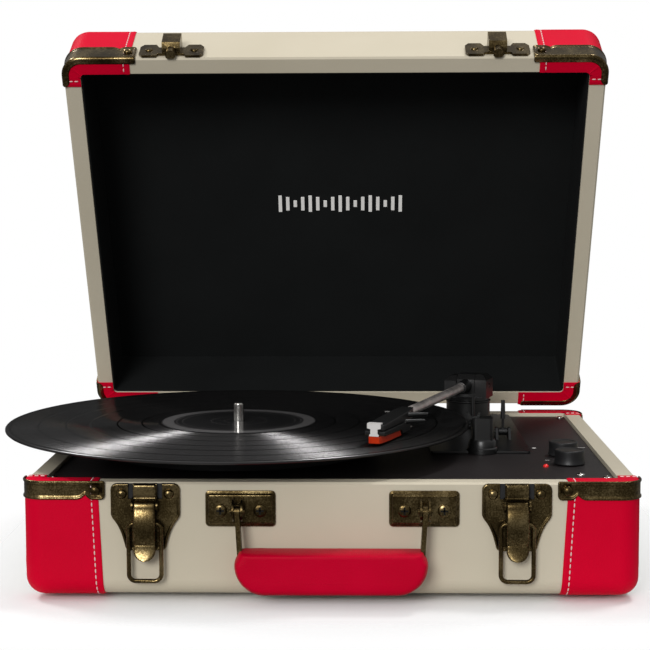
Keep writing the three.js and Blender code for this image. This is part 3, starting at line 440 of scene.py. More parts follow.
def lathe(profile, centre, steps=96, closed=True):
    """Points turned about a vertical axis. A closed profile is a ring; an open one starts and ends on the axis."""
    verts, faces = [], []
    n = len(profile)
    for i in range(steps):
        a = 2 * math.pi * i / steps
        for r, z in profile:
            verts.append((centre[0] + r * math.cos(a), centre[1] + r * math.sin(a), z))
    for i in range(steps):
        j = (i + 1) % steps
        for k in range(n if closed else n - 1):
            k2 = (k + 1) % n
            faces.append((i * n + k, j * n + k, j * n + k2, i * n + k2))
    return verts, faces


def lathe_mesh(name, profile, centre, steps=96, closed=True):
    return welded(name, [lathe(profile, centre, steps, closed)], 1e-7)


def tube(points, radius, sides=12, closed=False):
    """A round tube along points in mm, with flat ends unless it is closed."""
    pts = [Vector(p) for p in points]
    verts, faces = [], []
    n = len(pts)
    up = None
    for i, p in enumerate(pts):
        a = pts[(i - 1) % n] if (closed or i > 0) else p
        b = pts[(i + 1) % n] if (closed or i < n - 1) else p
        along = (b - a).normalized()
        if up is None:
            up = along.orthogonal().normalized()
        up = (up - along * up.dot(along)).normalized()
        side = along.cross(up)
        r = radius[i] if isinstance(radius, (list, tuple)) else radius
        for k in range(sides):
            t = 2 * math.pi * k / sides
            verts.append(tuple(p + up * (r * math.cos(t)) + side * (r * math.sin(t))))
    faces = grid_faces(n, sides, close_rows=closed, close_cols=True)
    if not closed:
        faces += [tuple(range(sides)), tuple(range((n - 1) * sides, n * sides))]
    return verts, faces


def prism(outline, lo, hi, axis="z"):
    """An outline of (a, b) points given thickness: axis z takes (x, y), y takes (x, z), x takes (y, z)."""
    place = {"z": lambda a, b, c: (a, b, c), "y": lambda a, b, c: (a, c, b), "x": lambda a, b, c: (c, a, b)}[axis]
    n = len(outline)
    verts = [place(a, b, lo) for a, b in outline] + [place(a, b, hi) for a, b in outline]
    faces = [(i, (i + 1) % n, n + (i + 1) % n, n + i) for i in range(n)]
    return verts, faces + [tuple(range(n)), tuple(range(2 * n - 1, n - 1, -1))]


def transformed(part, fn):
    v, f = part
    return [tuple(fn(Vector(p))) for p in v], f


def bevel_mesh(me, width, segments=2, angle=35):
    """Rounds a mesh's sharp edges, in mm."""
    with edited(me) as bm:
        bmesh.ops.remove_doubles(bm, verts=bm.verts, dist=2e-6)
        bmesh.ops.dissolve_limit(bm, angle_limit=math.radians(0.6), verts=bm.verts, edges=bm.edges)
        bmesh.ops.dissolve_degenerate(bm, dist=2e-5, edges=bm.edges)
        limit = math.radians(angle)
        edges = [e for e in bm.edges if len(e.link_faces) == 2 and e.calc_face_angle(0) > limit]
        if edges and width > 0:
            bmesh.ops.bevel(bm, geom=edges, offset=width * MM, offset_type="OFFSET", segments=segments,
                            profile=0.5, affect="EDGES", clamp_overlap=True, harden_normals=False)


BEND_Z = 24
REFINED_SLOTS = {"rubber": "rubber_feet", "brass": "antique_brass", "cream": "cream_leatherette",
                 "lining": "black_lining", "deck": "black_painted_metal", "plastic": "black_plastic",
                 "chrome": "bright_metal", "felt": "felt", "tube": "tube_aluminium", "stylus": "stylus_orange"}


def refined(node, mat, bevel=0.3, segments=2, angle=35, drawn_in=0.0):
    """The CAD node's shape with rounded edges and smooth shading, standing for the node.
    With drawn_in, what lies below BEND_Z in it moves that far towards the middle."""
    me = NODES[node].data.copy()
    me.name = node + "_skin"
    for v in me.vertices:
        if drawn_in and v.co.z < BEND_Z * MM:
            v.co.x -= math.copysign(drawn_in * MM, v.co.x)
    bevel_mesh(me, bevel, segments, angle)
    if me.has_custom_normals:
        me.normals_split_custom_set([(0, 0, 0)] * len(me.loops))
    return finish_mesh(node + "_skin", me, M[mat], NODE_BODY[node], REFINED_SLOTS[mat], [node], recalc=False)


def cut(me, *cutters):
    """The mesh with the cutters' solids taken out of it."""
    target = new_object("cut_target", me)
    tools = [new_object("cut_tool", cutter) for cutter in cutters]
    for tool in tools:
        mod = target.modifiers.new("cut", "BOOLEAN")
        mod.operation, mod.solver, mod.object = "DIFFERENCE", "EXACT", tool
    graph = bpy.context.evaluated_depsgraph_get()
    made = bpy.data.meshes.new_from_object(target.evaluated_get(graph))
    for o in [target] + tools:
        bpy.data.objects.remove(o)
    return made


def arc(cx, cy, r, a0, a1, n=6):
    """Points on an arc, its angles in degrees."""
    steps = [math.radians(a0 + (a1 - a0) * i / n) for i in range(n + 1)]
    return [(cx + r * math.cos(a), cy + r * math.sin(a)) for a in steps]


def rounded(x0, x1, y0, y1, r, n=6):
    return (arc(x1 - r, y0 + r, r, -90, 0, n) + arc(x1 - r, y1 - r, r, 0, 90, n)
            + arc(x0 + r, y1 - r, r, 90, 180, n) + arc(x0 + r, y0 + r, r, 180, 270, n))


def bezier(*points, n=8):
    """Points on a quadratic or cubic curve, its first one left out."""
    out = []
    for i in range(1, n + 1):
        t = i / n
        row = [Vector(p) for p in points]
        while len(row) > 1:
            row = [a.lerp(b, t) for a, b in zip(row, row[1:])]
        out.append(tuple(row[0]))
    return out


def inset_outline(points, d):
    """A counter-clockwise outline moved inwards by d."""
    out = []
    n = len(points)
    for i in range(n):
        p, a, b = Vector(points[i]), Vector(points[i - 1]), Vector(points[(i + 1) % n])
        e1, e2 = (p - a).normalized(), (b - p).normalized()
        n1, n2 = Vector((-e1.y, e1.x)), Vector((-e2.y, e2.x))
        mitre = (n1 + n2).normalized()
        out.append(tuple(p + mitre * (d / max(mitre.dot(n1), 0.5))))
    return out


def embossed(outline, levels, y):
    """A pressed plate that faces -Y: the (x, z) outline moved in by each level's inset and raised by its height.
    The outline is a list of points, or the sides and corner radius (x0, x1, z0, z1, r) of a rectangle."""
    verts, faces = [], []
    levels = levels + [(levels[-1][0] + 0.3, levels[-1][1])]
    for inset, rise in levels:
        if isinstance(outline, tuple):
            x0, x1, z0, z1, r = outline
            ring = rounded(x0 + inset, x1 - inset, z0 + inset, z1 - inset, max(r - inset, 0.25))
        else:
            ring = inset_outline(outline, inset)
        verts += [(a, y - rise, b) for a, b in ring]
    n = len(ring)
    for k in range(len(levels) - 1):
        for i in range(n):
            j = (i + 1) % n
            faces.append((k * n + i, k * n + j, (k + 1) * n + j, (k + 1) * n + i))
    faces += [tuple(range(n)), tuple(range((len(levels) - 1) * n, len(levels) * n))]
    return verts, faces


def turned_out(profile, x, y, z, steps=28):
    """A turned part whose axis runs along -Y from (x, y, z): the profile is (radius, height)."""
    v, f = lathe(profile, (0, 0), steps, closed=False)
    return [(x + a, y - c, z + b) for a, b, c in v], f


def dome(r, height, flange=0.4, n=6):
    """Half a section of a domed head, from its foot to its crown."""
    points = [(0, -0.5), (r, -0.5), (r, flange)]
    for i in range(1, n + 1):
        t = math.pi / 2 * i / n
        points.append((r * math.cos(t) if i < n else 0.0, flange + (height - flange) * math.sin(t)))
    return points


def pin(axis_from, axis_to, r):
    """A round pin with softened ends."""
    a, b = Vector(axis_from), Vector(axis_to)
    along = (b - a).normalized()
    points = [a, a + along * 0.25, b - along * 0.25, b]
    return tube(points, [r - 0.3, r, r, r - 0.3], 16)


def box_part(x0, x1, y0, y1, z0, z1):
    return prism([(x0, y0), (x1, y0), (x1, y1), (x0, y1)], z0, z1)


def welded(name, parts, dist=1e-6):
    """One mesh from several parts, with each part's doubled points merged."""
    me = join_parts(name, parts)
    with edited(me) as bm:
        bmesh.ops.remove_doubles(bm, verts=bm.verts, dist=dist)
    return me


def merged(name, meshes):
    made = bpy.data.meshes.new(name)
    with edited(made) as bm:
        for me in meshes:
            bm.from_mesh(me)
    return made


# ---- the case's outer surface
def profile(h):
    """The case wall's outline from underneath, up the side and over the rim: (inset, z, out, up) in mm."""
    points = [(24 - 2 * i, 0.0, 0.0, -1.0) for i in range(7)]
    steps = 7
    for i in range(steps + 1):
        a = math.pi / 2 * i / steps
        points.append((EDGE_R * (1 - math.sin(a)), EDGE_R * (1 - math.cos(a)), math.sin(a), -math.cos(a)))
    rise = h - RIM_R - EDGE_R
    count = max(2, int(rise / 4))
    points += [(0.0, EDGE_R + rise * i / count, 1.0, 0.0) for i in range(1, count + 1)]
    for i in range(1, 4):
        a = math.pi / 2 * i / 3
        points.append((RIM_R * (1 - math.cos(a)), h - RIM_R * (1 - math.sin(a)), math.cos(a), math.sin(a)))
    points += [(RIM_R + (WALL - RIM_R) * i / 5, h, 0.0, 1.0) for i in range(1, 6)]
    return points


def plan(u, inset, out):
    """A point round the front right corner: u is the distance from the middle of the front, measured on the wall."""
    r = max(CORNER_R - inset, 3.0)
    cx, cy = CASE_W / 2 - inset - r, CASE_D / 2 - inset - r
    straight = CASE_W / 2 - CORNER_R
    arc = CORNER_R * math.pi / 2
    grown = r + out
    if u <= straight:
        return min(u, cx), -(cy + grown)
    if u <= straight + arc:
        a = (u - straight) / CORNER_R
        return cx + grown * math.sin(a), -(cy + grown * math.cos(a))
    return cx + grown, -(CASE_D / 2 - CORNER_R - (u - straight - arc))


def surface(u, q, grow):
    inset, z, out, up = q
    x, y = plan(u, inset, out * grow)
    return Vector((x, y, z + up * grow))


def lid_place(p):
    """A point of the lid's block, which stands on its outer panel, put where the open lid has it."""
    shut = Vector((p.x, p.y, LID_RIM_Z + LID_H - p.z))
    return LID_TURN @ (shut - HINGE) + HINGE


def corner_place(sx, sy, lid):
    def place(p):
        q = Vector((p.x * sx, p.y * sy, p.z))
        return lid_place(q) if lid else q
    return place


PATCH_EDGE = 134.0
CORNER_MIDDLE = CASE_W / 2 - CORNER_R + CORNER_R * math.pi / 4
SIDE_END = CASE_W / 2 - CORNER_R + CORNER_R * math.pi / 2 + 8
STITCH_BACK = 4.0


def leather_corner(name, h, sx, sy, lid, body):
    """A red leather cap over one corner of the case: a padded skin with a fold, a raised edge and its stitches."""
    prof = profile(h)
    place = corner_place(sx, sy, lid)
    low, high = (131.5, 134.3) if sx < 0 else (132.5, 136.3)
    if lid or sy < 0:
        low = high = PATCH_EDGE

    def edge(z):
        return low + (high - low) * z / h

    cols = 44
    rows = len(prof)
    outer, inner = [], []
    rng = random.Random(hash_name(name))
    seed = Vector((rng.uniform(0, 50), rng.uniform(0, 50), 0))
    for i, q in enumerate(prof):
        top = i >= rows - 5
        for j in range(cols):
            t = j / (cols - 1)
            start = edge(q[1])
            u = start + (SIDE_END - start) * t
            away = min(u - start, SIDE_END - u)
            puff = 0.1 * math.exp(-((away - 1.2) / 0.9) ** 2) - 0.28 * math.exp(-(away / 0.5) ** 2)
            wobble = 0.12 * noise.noise(Vector((u * 0.05, q[1] * 0.06, 0)) + seed)
            seam = 0.3 * math.exp(-((away - STITCH_BACK) / 0.5) ** 2)
            grow = 0.7 + puff + (0 if top else wobble) - seam
            if top:
                grow += 0.35 * math.exp(-((u - CORNER_MIDDLE - 1.2) / 1.0) ** 2)
            if not lid and not top:
                near = math.exp(-((u - CORNER_MIDDLE) / 9) ** 2)
                fold = 0.55 * math.exp(-((q[1] - 17.5) / 1.1) ** 2) - 0.3 * math.exp(-((q[1] - 15.4) / 0.8) ** 2)
                grow += near * fold
            outer.append(tuple(place(surface(u, q, grow))))
            inner.append(tuple(place(surface(u, q, 0.02))))
    skin = mesh_from(name, outer + inner, skin_faces(rows, cols))
    finish_mesh(name, skin, M["red"], body, "red_leather", smooth=60)
    threads = (lambda z: edge(z) + STITCH_BACK, lambda z: SIDE_END - STITCH_BACK)
    stitches(name + "_stitches", prof, threads, place, body)


def hash_name(name):
    return sum((i + 1) * ord(c) for i, c in enumerate(name))


def stitches(name, prof, rows, place, body, pitch=3.55, length=2.5):
    """Rows of thread that follow the leather's edges up the wall and over the rim, and its seam round the corner."""
    parts = []
    start = run_length(prof[:5])
    count = int((run_length(prof) - start) / pitch)
    for row in rows:
        for i in range(count):
            s = start + pitch * (i + 0.5)
            a, b = at_length(prof, s - length / 2), at_length(prof, s + length / 2)
            pa = place(surface(row(a[1]), a, 0.62))
            pb = place(surface(row(b[1]), b, 0.62))
            parts.append(stitch(pa, pb, 0.42))
    detail(name, parts, "thread", body, "red_leather", 80)


def run_length(prof):
    return sum(math.hypot(b[0] - a[0], b[1] - a[1]) for a, b in zip(prof, prof[1:]))


def at_length(prof, s):
    """The point of the wall's outline at a length along it."""
    for a, b in zip(prof, prof[1:]):
        step = math.hypot(b[0] - a[0], b[1] - a[1])
        if s <= step:
            t = s / step
            return tuple(x + (y - x) * t for x, y in zip(a, b))
        s -= step
    return prof[-1]


def stitch(pa, pb, r):
    """One stitch: a plump thread from pa to pb."""
    pts, radii = [], []
    for i in range(7):
        t = i / 6
        pts.append(pa.lerp(pb, t))
        radii.append(max(0.08, r * math.sin(math.pi * (0.06 + 0.88 * t)) ** 0.5))
    return tube(pts, radii, 8)


for where, sx, sy in CORNERS:
    leather_corner("base_leather_" + where, BASE_H, sx, sy, False, "case")
    leather_corner("lid_leather_" + where, LID_H, sx, sy, True, "lid")

# ---- luggage hardware
FRONT = -CASE_D / 2
BRACKET_H, LID_BRACKET_H = 11, 15
BRACKET_FRONT, BRACKET_REAR = 48, 42
LATCH_X = 106.7
LATCH_PIVOT = (-144.6, 54.2)
BAIL_PIVOT = (-145.3, 43.9)
HANDLE_XS = (-53.2, 54.1)
HANDLE_PLATE_XS = (-51.9, 53.7)
HANDLE_PIVOT = (-149.5, 52)
RIVET = dome(2.9, 2.0)
BRACKET_OUT = 0.75


def bracket_low(s, rest, low):
    """The bracket's lower edge: s from its inner end, rest to its end on the side."""
    cusp = 2.9
    if s < 3.4:
        z = low + 3.0 - math.sqrt(3.4 ** 2 - (3.4 - s) ** 2)
    elif s < 6:
        z = low - 0.4
    elif s < 11.5:
        z = low - 0.4 + (cusp + 0.4) * ((s - 6) / 5.5) ** 2.2
    elif s < 17:
        z = low + cusp * ((17 - s) / 5.5) ** 2.2
    else:
        z = low
    return max(z, low + end_round(rest, 4))


def end_round(d, r):
    """How far a rounded end of radius r lies inside the straight edge, at distance d from the end."""
    return r - math.sqrt(r * r - (r - d) ** 2) if d < r else 0.0


def pressed_edge(d, height, bead, field):
    """The height of pressed sheet at distance d from its edge: a rounded edge, a bead, then the flat field."""
    if d < 0.55:
        return height * 0.45 + (bead - height * 0.45) * math.sqrt(1 - (1 - d / 0.55) ** 2)
    t = min(max((d - 1.2) / 0.8, 0), 1)
    return bead + (field - bead) * t * t * (3 - 2 * t)


def build_bracket(node, rim_z, width, height, place, body, lip=0.0):
    """A corner bracket: pressed sheet that wraps the corner, with one domed rivet in a dish.
    With a lip it is also folded over the rim, which starts RIM_R above rim_z."""
    start = CASE_W / 2 - width
    ends = [0, 0.12, 0.35, 0.7, 1.1, 1.6, 2.2, 2.9]
    span = SIDE_END - start
    count = int((span - 5.8) / 0.95)
    us = ends + [2.9 + (span - 5.8) * i / count for i in range(1, count)] + [span - e for e in reversed(ends)]
    vs = [0, 0.015, 0.04, 0.08, 0.12, 0.17, 0.24, 0.33, 0.43, 0.53, 0.63, 0.73, 0.81, 0.87, 0.91, 0.95, 0.98, 1]
    rivet_s, rivet_z = 5.7, rim_z - height / 2
    outer, inner = [], []
    for s in us:
        rest = span - s
        low = bracket_low(s, rest, rim_z - height)
        top = rim_z - max(end_round(s, 1.2), end_round(rest, 4))
        for v in vs:
            z = low + (top - low) * v
            d = min(z - low, s, rest) if lip else min(z - low, top - z, s, rest)
            rise = pressed_edge(d, 0.85, 0.95, 0.35)
            dish = math.hypot(s - rivet_s, z - rivet_z)
            rise -= 0.3 * max(0, 1 - (dish / 4.3) ** 4)
            outer.append(tuple(place(surface(start + s, (0, z, 1, 0), BRACKET_OUT + rise))))
            inner.append(tuple(place(surface(start + s, (0, z, 1, 0), BRACKET_OUT))))
        over = min(end_round(s, 1.2) + end_round(rest, 4), lip)
        folded = []
        for k in range(1, 5 if lip else 1):
            a = math.pi / 2 * k / 4
            turn = (RIM_R * (1 - math.cos(a)), rim_z + RIM_R * math.sin(a), math.cos(a), math.sin(a))
            folded.append((turn, 0.85 - 0.06 * k))
        for t, rise in ((0.25, 0.5), (0.6, 0.5), (0.88, 0.42), (1.0, 0.15)) if lip else ():
            folded.append(((RIM_R + (lip - over) * t, rim_z + RIM_R, 0.0, 1.0), rise))
        for q, rise in folded:
            outer.append(tuple(place(surface(start + s, q, BRACKET_OUT + rise * min(1.0, 0.4 + min(s, rest))))))
            inner.append(tuple(place(surface(start + s, q, BRACKET_OUT))))
    faces = skin_faces(len(us), len(vs) + (8 if lip else 0))
    rivet = transformed(turned_out(RIVET, start + rivet_s, FRONT - 1.3, rivet_z), place)
    brass_skin(node, welded(node, [(outer + inner, faces), rivet]), body, 50)


def latch_outline():
    """The latch plate, counter-clockwise from its lower right: x from its middle, z from the case's underside."""
    half = arc(9, 30.4, 3, -90, 0) + bezier((12.2, 30.6), (14, 39.5), (17.8, 44.6))
    half += bezier((17.8, 44.6), (19.6, 46.6), (20, 48.6), n=4)
    half += arc(16.4, 63, 3.6, 0, 90)
    return half + [(-x, z) for x, z in reversed(half)]


def build_latch_plate(node, x0):
    y = FRONT - 0.3
    rolled = [(0, 0), (0, 1.1), (0.15, 1.6), (0.5, 1.95), (0.9, 2.0), (1.35, 1.85), (1.8, 1.5), (2.1, 1.4)]
    plate = join_parts(node, [embossed(latch_outline(), rolled, y)])
    slots = [box_part(sx * 8.35 - 1.5, sx * 8.35 + 1.5, y - 4, y + 1, 57.6, 70) for sx in (-1, 1)]
    dish = [(0, 0), (2.6, 0), (4.3, 0.5), (4.3, 2), (0, 2)]
    dishes = [turned_out(dish, sx * 13.6, y - 1.0, 60.4) for sx in (-1, 1)]
    plate = cut(plate, welded("slots", slots), welded("dishes", dishes))
    bridge = [(0, 0), (0, 3.7), (0.12, 4.1), (0.45, 4.45), (1.0, 4.6), (2.0, 4.65)]
    parts = [embossed((-6.7, 6.7, 58.6, 66.4, 1.3), bridge, y)]
    parts.append(pin((-6.4, y - 4.1, 58.5), (6.4, y - 4.1, 58.5), 0.75))
    for sx in (-1, 1):
        ear = [(y + 0.2, 49.8), (-143.2, 50.2)] + arc(LATCH_PIVOT[0], LATCH_PIVOT[1], 3.1, 250, 110, 8)
        ear += [(-143.2, 58.2), (y + 0.2, 58.6)]
        parts.append(prism(ear, sx * 7.15 - 0.5, sx * 7.15 + 0.5, "x"))
        parts.append(turned_out(RIVET, sx * 13.6, y - 1.0, 60.4))
    parts.append(pin((-8.1, *LATCH_PIVOT), (8.1, *LATCH_PIVOT), 1.15))
    me = merged(node, [welded(node, parts), plate])
    me.transform(Matrix.Translation((x0 * MM, 0, 0)))
    # Dark strips set just behind the two slots are painted shade for the shadow seen down the slots.
    gaps = [box_part(x0 + sx * 8.35 - 1.45, x0 + sx * 8.35 + 1.45, y - 0.5, y - 0.1, 57.7, 66.5) for sx in (-1, 1)]
    detail(node + "_slot_shade", gaps, "rubber", "case", "black_plastic", 32)
    brass_skin(node, me, "case", 38)


def ribbon(path, half_width, thickness, x0, edge=0.75, crown=0.3):
    """A strip swept along a (y, z) path and across x, crowned on its outer side, with rounded edges."""
    ts = (-1, -0.985, -0.95, -0.89, -0.8, -0.5, 0, 0.5, 0.8, 0.89, 0.95, 0.985, 1)
    outer, inner = [], []
    pts = [Vector(p) for p in path]
    for i, p in enumerate(pts):
        along = (pts[min(i + 1, len(pts) - 1)] - pts[max(i - 1, 0)]).normalized()
        out = Vector((along.y, -along.x))
        w = half_width(p)
        for t in ts:
            drop = edge * (1 - math.sqrt(max(0, 1 - max(0, (abs(t) - 0.8) / 0.2) ** 2)))
            q = p + out * (crown * (1 - t * t) - drop)
            back = p - out * thickness
            outer.append((x0 + w * t, q.x, q.y))
            inner.append((x0 + w * t, back.x, back.y))
    return outer + inner, skin_faces(len(pts), len(ts))


def build_latch_lever(node, x0, body):
    """The lever: rolled round its pin, bowed down the front, then a crease and a round thumb tab."""
    py, pz = LATCH_PIVOT
    path = arc(py, pz, 2.5, 20, 180, 10)
    path += bezier((py - 2.5, pz), (-150.4, 49.5), (-150.6, 39), (-148.1, 32.2), n=16)
    path += [(-147.8, 31.7), (-147.9, 31.2)] + bezier((-147.9, 31.2), (-148.3, 27), (-150, 22.75), n=14)

    def half_width(p):
        if p.y > 29.2:
            return 6.35 if p.y < 31.5 or p.y > 32.6 else 6.15
        return max(0.6, math.sqrt(max(0, 6.45 ** 2 - (29.2 - p.y) ** 2)))

    parts = [ribbon(path, half_width, 1.3, x0)]
    parts.append(pin((x0 - 6.2, py, pz), (x0 - 1, py, pz), 1.9))
    parts.append(pin((x0 + 1, py, pz), (x0 + 6.2, py, pz), 1.9))
    for sx in (-1, 1):
        hook = arc(BAIL_PIVOT[0], BAIL_PIVOT[1], 2.7, -100, 100, 10) + [(-148.6, 46.6), (-148.6, 41.2)]
        parts.append(prism(hook, x0 + sx * 4.6 - 1.5, x0 + sx * 4.6 + 1.5, "x"))
    brass_skin(node, welded(node, parts), body, 38)


def build_bail(node, x0, body):
    y, top = BAIL_PIVOT
    w, low, r, r2 = 9.35, 10.4, 4.0, 3.2
    loop = arc(w - r, low + r, r, -90, 0, 8) + arc(w - r2, top - r2, r2, 0, 90, 8)
    loop += [(-a, b) for a, b in reversed(loop)]
    wire = tube([(x0 + a, y, b) for a, b in loop], 1.3, 16, closed=True)
    brass_skin(node, join_parts(node, [wire]), body, 80)


def phillips_screw(x, y, z, r=3.85, height=1.5):
    """A domed cross-head screw whose axis runs along -Y."""
    head = welded("screw", [turned_out(dome(r, height, 0.35, 8), x, y, z, 32)])
    deep, wide, tall = 0.9, 0.55, 2.2
    cross = [box_part(x - a, x + a, y - height - 1, y - height + deep, z - b, z + b)
             for a, b in ((tall, wide), (wide, tall))]
    return cut(head, join_parts("slot", cross[:1]), join_parts("slot", cross[1:]))


SCREW_Z = 51.2


def build_handle_plate(node, x, strap_x):
    """A stamped plate with a raised field, two cross-head screws, and a yoke of two ears with its pin."""
    y = FRONT - 0.3
    stamped = [(0, 0), (0, 0.7), (0.2, 1.05), (0.55, 1.2), (1.1, 1.2), (1.4, 1.35), (2.0, 2.6), (2.3, 2.9),
               (2.8, 3.0)]
    parts = [embossed((x - 20.2, x + 20.2, 41.5, 62.4, 2.4), stamped, y)]
    py, pz = HANDLE_PIVOT
    for sx in (-1, 1):
        ex = strap_x + sx * 2.5
        ear = [(y - 2.8 - 9.2 * math.cos(t), pz + 7 * math.sin(t))
               for t in [math.pi * (i / 14 - 0.5) for i in range(15)]]
        parts.append(prism(ear, ex - 0.55, ex + 0.55, "x"))
        parts.append(pin((ex + sx * 0.5, py, pz), (ex + sx * 1.15, py, pz), 2.9))
    parts.append(pin((strap_x - 4.3, py, pz), (strap_x + 4.3, py, pz), 1.6))
    # The thin dark crosses at the bottom of each screw's cross recess are painted shade for the shadow inside the
    # recess.
    screws, slots = [], []
    for screw_x in (x - 11.4, x + 11.4):
        screws.append(phillips_screw(screw_x, y - 2.9, SCREW_Z))
        for a, b in ((2.19, 0.54), (0.54, 2.19)):
            slots.append(box_part(screw_x - a, screw_x + a, y - 3.6, y - 3.5, SCREW_Z - b, SCREW_Z + b))
    detail(node + "_cross_shade", slots, "platter", "case", "black_plastic", 32)
    brass_skin(node, merged(node, [welded(node, parts)] + screws), "case", 35)


for where, sx, sy in CORNERS:
    width = BRACKET_FRONT if sy > 0 else BRACKET_REAR
    build_bracket("base_bracket_" + where, BASE_H + 0.9, width, BRACKET_H, corner_place(sx, sy, False), "case")
    build_bracket("lid_bracket_" + where, LID_H - RIM_R, width, LID_BRACKET_H - 1, corner_place(sx, sy, True),
                  "lid", 2.4)
for side, sx in SIDES:
    build_latch_plate(f"latch_plate_{side}", sx * LATCH_X)
    build_latch_lever(f"latch_lever_{side}", sx * LATCH_X, f"lever_{side}")
    build_bail(f"latch_bail_{side}", sx * LATCH_X, f"bail_{side}")
for side, x, strap_x in zip(("left", "right"), HANDLE_PLATE_XS, HANDLE_XS):
    build_handle_plate(f"handle_plate_{side}", x, strap_x)


def build_grip():
    """The handle's grip: padding under tight leather, flat on top and round below."""
    cx, cy, cz = 0.4, -152.5, 17.5
    w, high, low, depth = 55.1, 12.7, -12.7, 10.0
    layers = []
    count = 20
    for k in range(count + 1):
        a = math.pi * k / count
        across = -math.cos(a)
        soft = 1 - math.sin(a) ** 0.55
        top, bottom, side = 2.6 * soft, 7.5 * soft, 5.0 * soft
        z0, z1, x1 = low + bottom, high - top, w - side
        r = min(17.0, z1 - z0 - 7.0)
        right = arc(x1 - r, z0 + r, r, -90, 0, 14)
        right += bezier((x1, z0 + r), (x1, z1 - 5.5), (x1 - 1.6, z1 - 3.0), n=4)
        right += arc(x1 - 4.0, z1 - 1.6, 1.6, 35, 90, 5)
        bottom_line = [(x1 - r) * (1 - 2 * i / 22) for i in range(1, 22)]
        top_line = [(x1 - 4.0) * (1 - 2 * i / 22) for i in range(1, 22)]
        ring = right + [(x, z1) for x in top_line] + [(-x, z) for x, z in reversed(right)]
        ring += [(-x, z0) for x in bottom_line]
        layers.append([(cx + x, cy + depth * across, cz + z) for x, z in ring])
    n = len(layers[0])
    verts = [p for ring in layers for p in ring]
    faces = grid_faces(len(layers), n, close_cols=True)
    faces += [tuple(range(n)), tuple(range(count * n, (count + 1) * n))]
    me = mesh_from("grip_skin", verts, faces)
    with edited(me) as bm:
        bmesh.ops.inset_region(bm, faces=[f for f in bm.faces if len(f.verts) > 4], thickness=0.0008)
    for v in me.vertices:
        p = v.co / MM
        swell = 0.25 * noise.noise(p * 0.05) + 0.12 * noise.noise(p * 0.14)
        edge = math.exp(-((abs(p.x - cx) - 44) / 6) ** 2)
        v.co.y += swell * MM * (1 if p.y > cy else -1)
        v.co.z += 0.35 * edge * noise.noise(p * 0.22) * MM
    o = finish_mesh("grip_skin", me, M["grip"], "handle", "red_leather", ["handle_grip"], smooth=60)


build_grip()

# ---- CAD nodes with better edges
for where, sx, sy in CORNERS:
    refined("foot_" + where, "rubber", 0.4)
for side, sx in SIDES:
    refined(f"hinge_leaf_base_{side}", "brass", 0.25)
    refined(f"hinge_leaf_lid_{side}", "brass", 0.25)
    refined(f"lid_catch_{side}", "brass", 0.45, 3)
refined("handle_strap", "brass", 0.5, 3, drawn_in=2.2)
refined("base_shell", "cream", 0.4, angle=50)
refined("lid_shell", "cream", 0.4, angle=50)
for node, mat, bevel in (
        ("lid_lining", "lining", 0), ("deck_plate", "deck", 0.2), ("mechanism_plate", "plastic", 0.2),
        ("spindle", "chrome", 0.1), ("slip_mat", "felt", 0.2), ("tonearm_base", "plastic", 0.2),
        ("gimbal_yoke", "plastic", 0.35), ("arm_block", "plastic", 0.35), ("arm_tube", "tube", 0.1),
        ("headshell", "plastic", 0.4), ("cartridge", "plastic", 0.3), ("stylus", "stylus", 0.3),
        ("finger_lift", "chrome", 0.2), ("arm_rest", "plastic", 0.3), ("cue_lift_bar", "plastic", 0.2),
        ("cue_lever", "plastic", 0.15), ("speed_selector", "plastic", 0.2), ("auto_stop_switch", "plastic", 0.3),
        ("jack_plate", "plastic", 0.2), ("motor_pulley", "chrome", 0.1)):
    refined(node, mat, bevel)

NODES_LEFT = {"motor": "steel", "drive_belt": "rubber", "circuit_board": "board",
              "speaker_left": "speaker", "speaker_right": "speaker"}
for node, mat in NODES_LEFT.items():
    NODES[node].data.materials.clear()
    NODES[node].data.materials.append(M[mat])


# ---- record, platter, knobs
def build_record():
    bottom = RECORD_TOP - RECORD_T
    top = RECORD_TOP
    upper = [(3.65, top - 0.15), (LABEL_R + 1.2, top - 0.15), (LABEL_R + 2.0, top - 0.3)]
    for r in TRACKS:
        upper += [(r - 0.9, top - 0.3), (r - 0.5, top - 0.36), (r + 0.5, top - 0.36), (r + 0.9, top - 0.3)]
    upper += [(RECORD_R - 1.6, top - 0.24), (RECORD_R - 1.0, top - 0.04), (RECORD_R - 0.5, top - 0.1)]
    edge = [(RECORD_R, top - 0.6), (RECORD_R, bottom + 0.6), (RECORD_R - 0.6, bottom)]
    prof = upper + edge + [(3.65, bottom)]
    me = lathe_mesh("record_disc", prof, SPINDLE, 256)
    finish_mesh("record_disc", me, M["vinyl"], "turntable", "vinyl", ["record"], 40)
    r0, r1, z0, z1, soft = 3.8, LABEL_R, top - 0.13, top + 0.06, 0.06
    ring = [(r0, z0), (r1 - soft, z0), (r1, z0 + soft), (r1, z1 - soft), (r1 - soft, z1), (r0, z1)]
    label = lathe_mesh("record_label", ring, SPINDLE, 128)
    finish_mesh("record_label", label, M["label"], "turntable", "vinyl")


def build_platter():
    z0, z1, r = PLATTER_BOTTOM, PLATTER_TOP, PLATTER_R
    prof = [(4.2, z1), (r - 1.2, z1), (r - 0.3, z1 - 0.3), (r, z1 - 1.2), (r, z1 - 4), (r - 0.6, z1 - 4.4),
            (r - 0.6, z1 - 5.4), (r, z1 - 5.8), (r, z0 + 0.6), (r - 0.6, z0), (r - 2.0, z0), (r - 2.5, z0 + 0.5),
            (r - 2.5, z1 - 2.6), (63, z1 - 2.6), (63, 70), (60.5, 70), (60.5, z1 - 2.6), (9, z1 - 2.6), (9, z0),
            (4.2, z0)]
    me = lathe_mesh("platter_disc", prof, SPINDLE, 160)
    finish_mesh("platter_disc", me, M["platter"], "turntable", "platter_metal", ["platter"], 30)


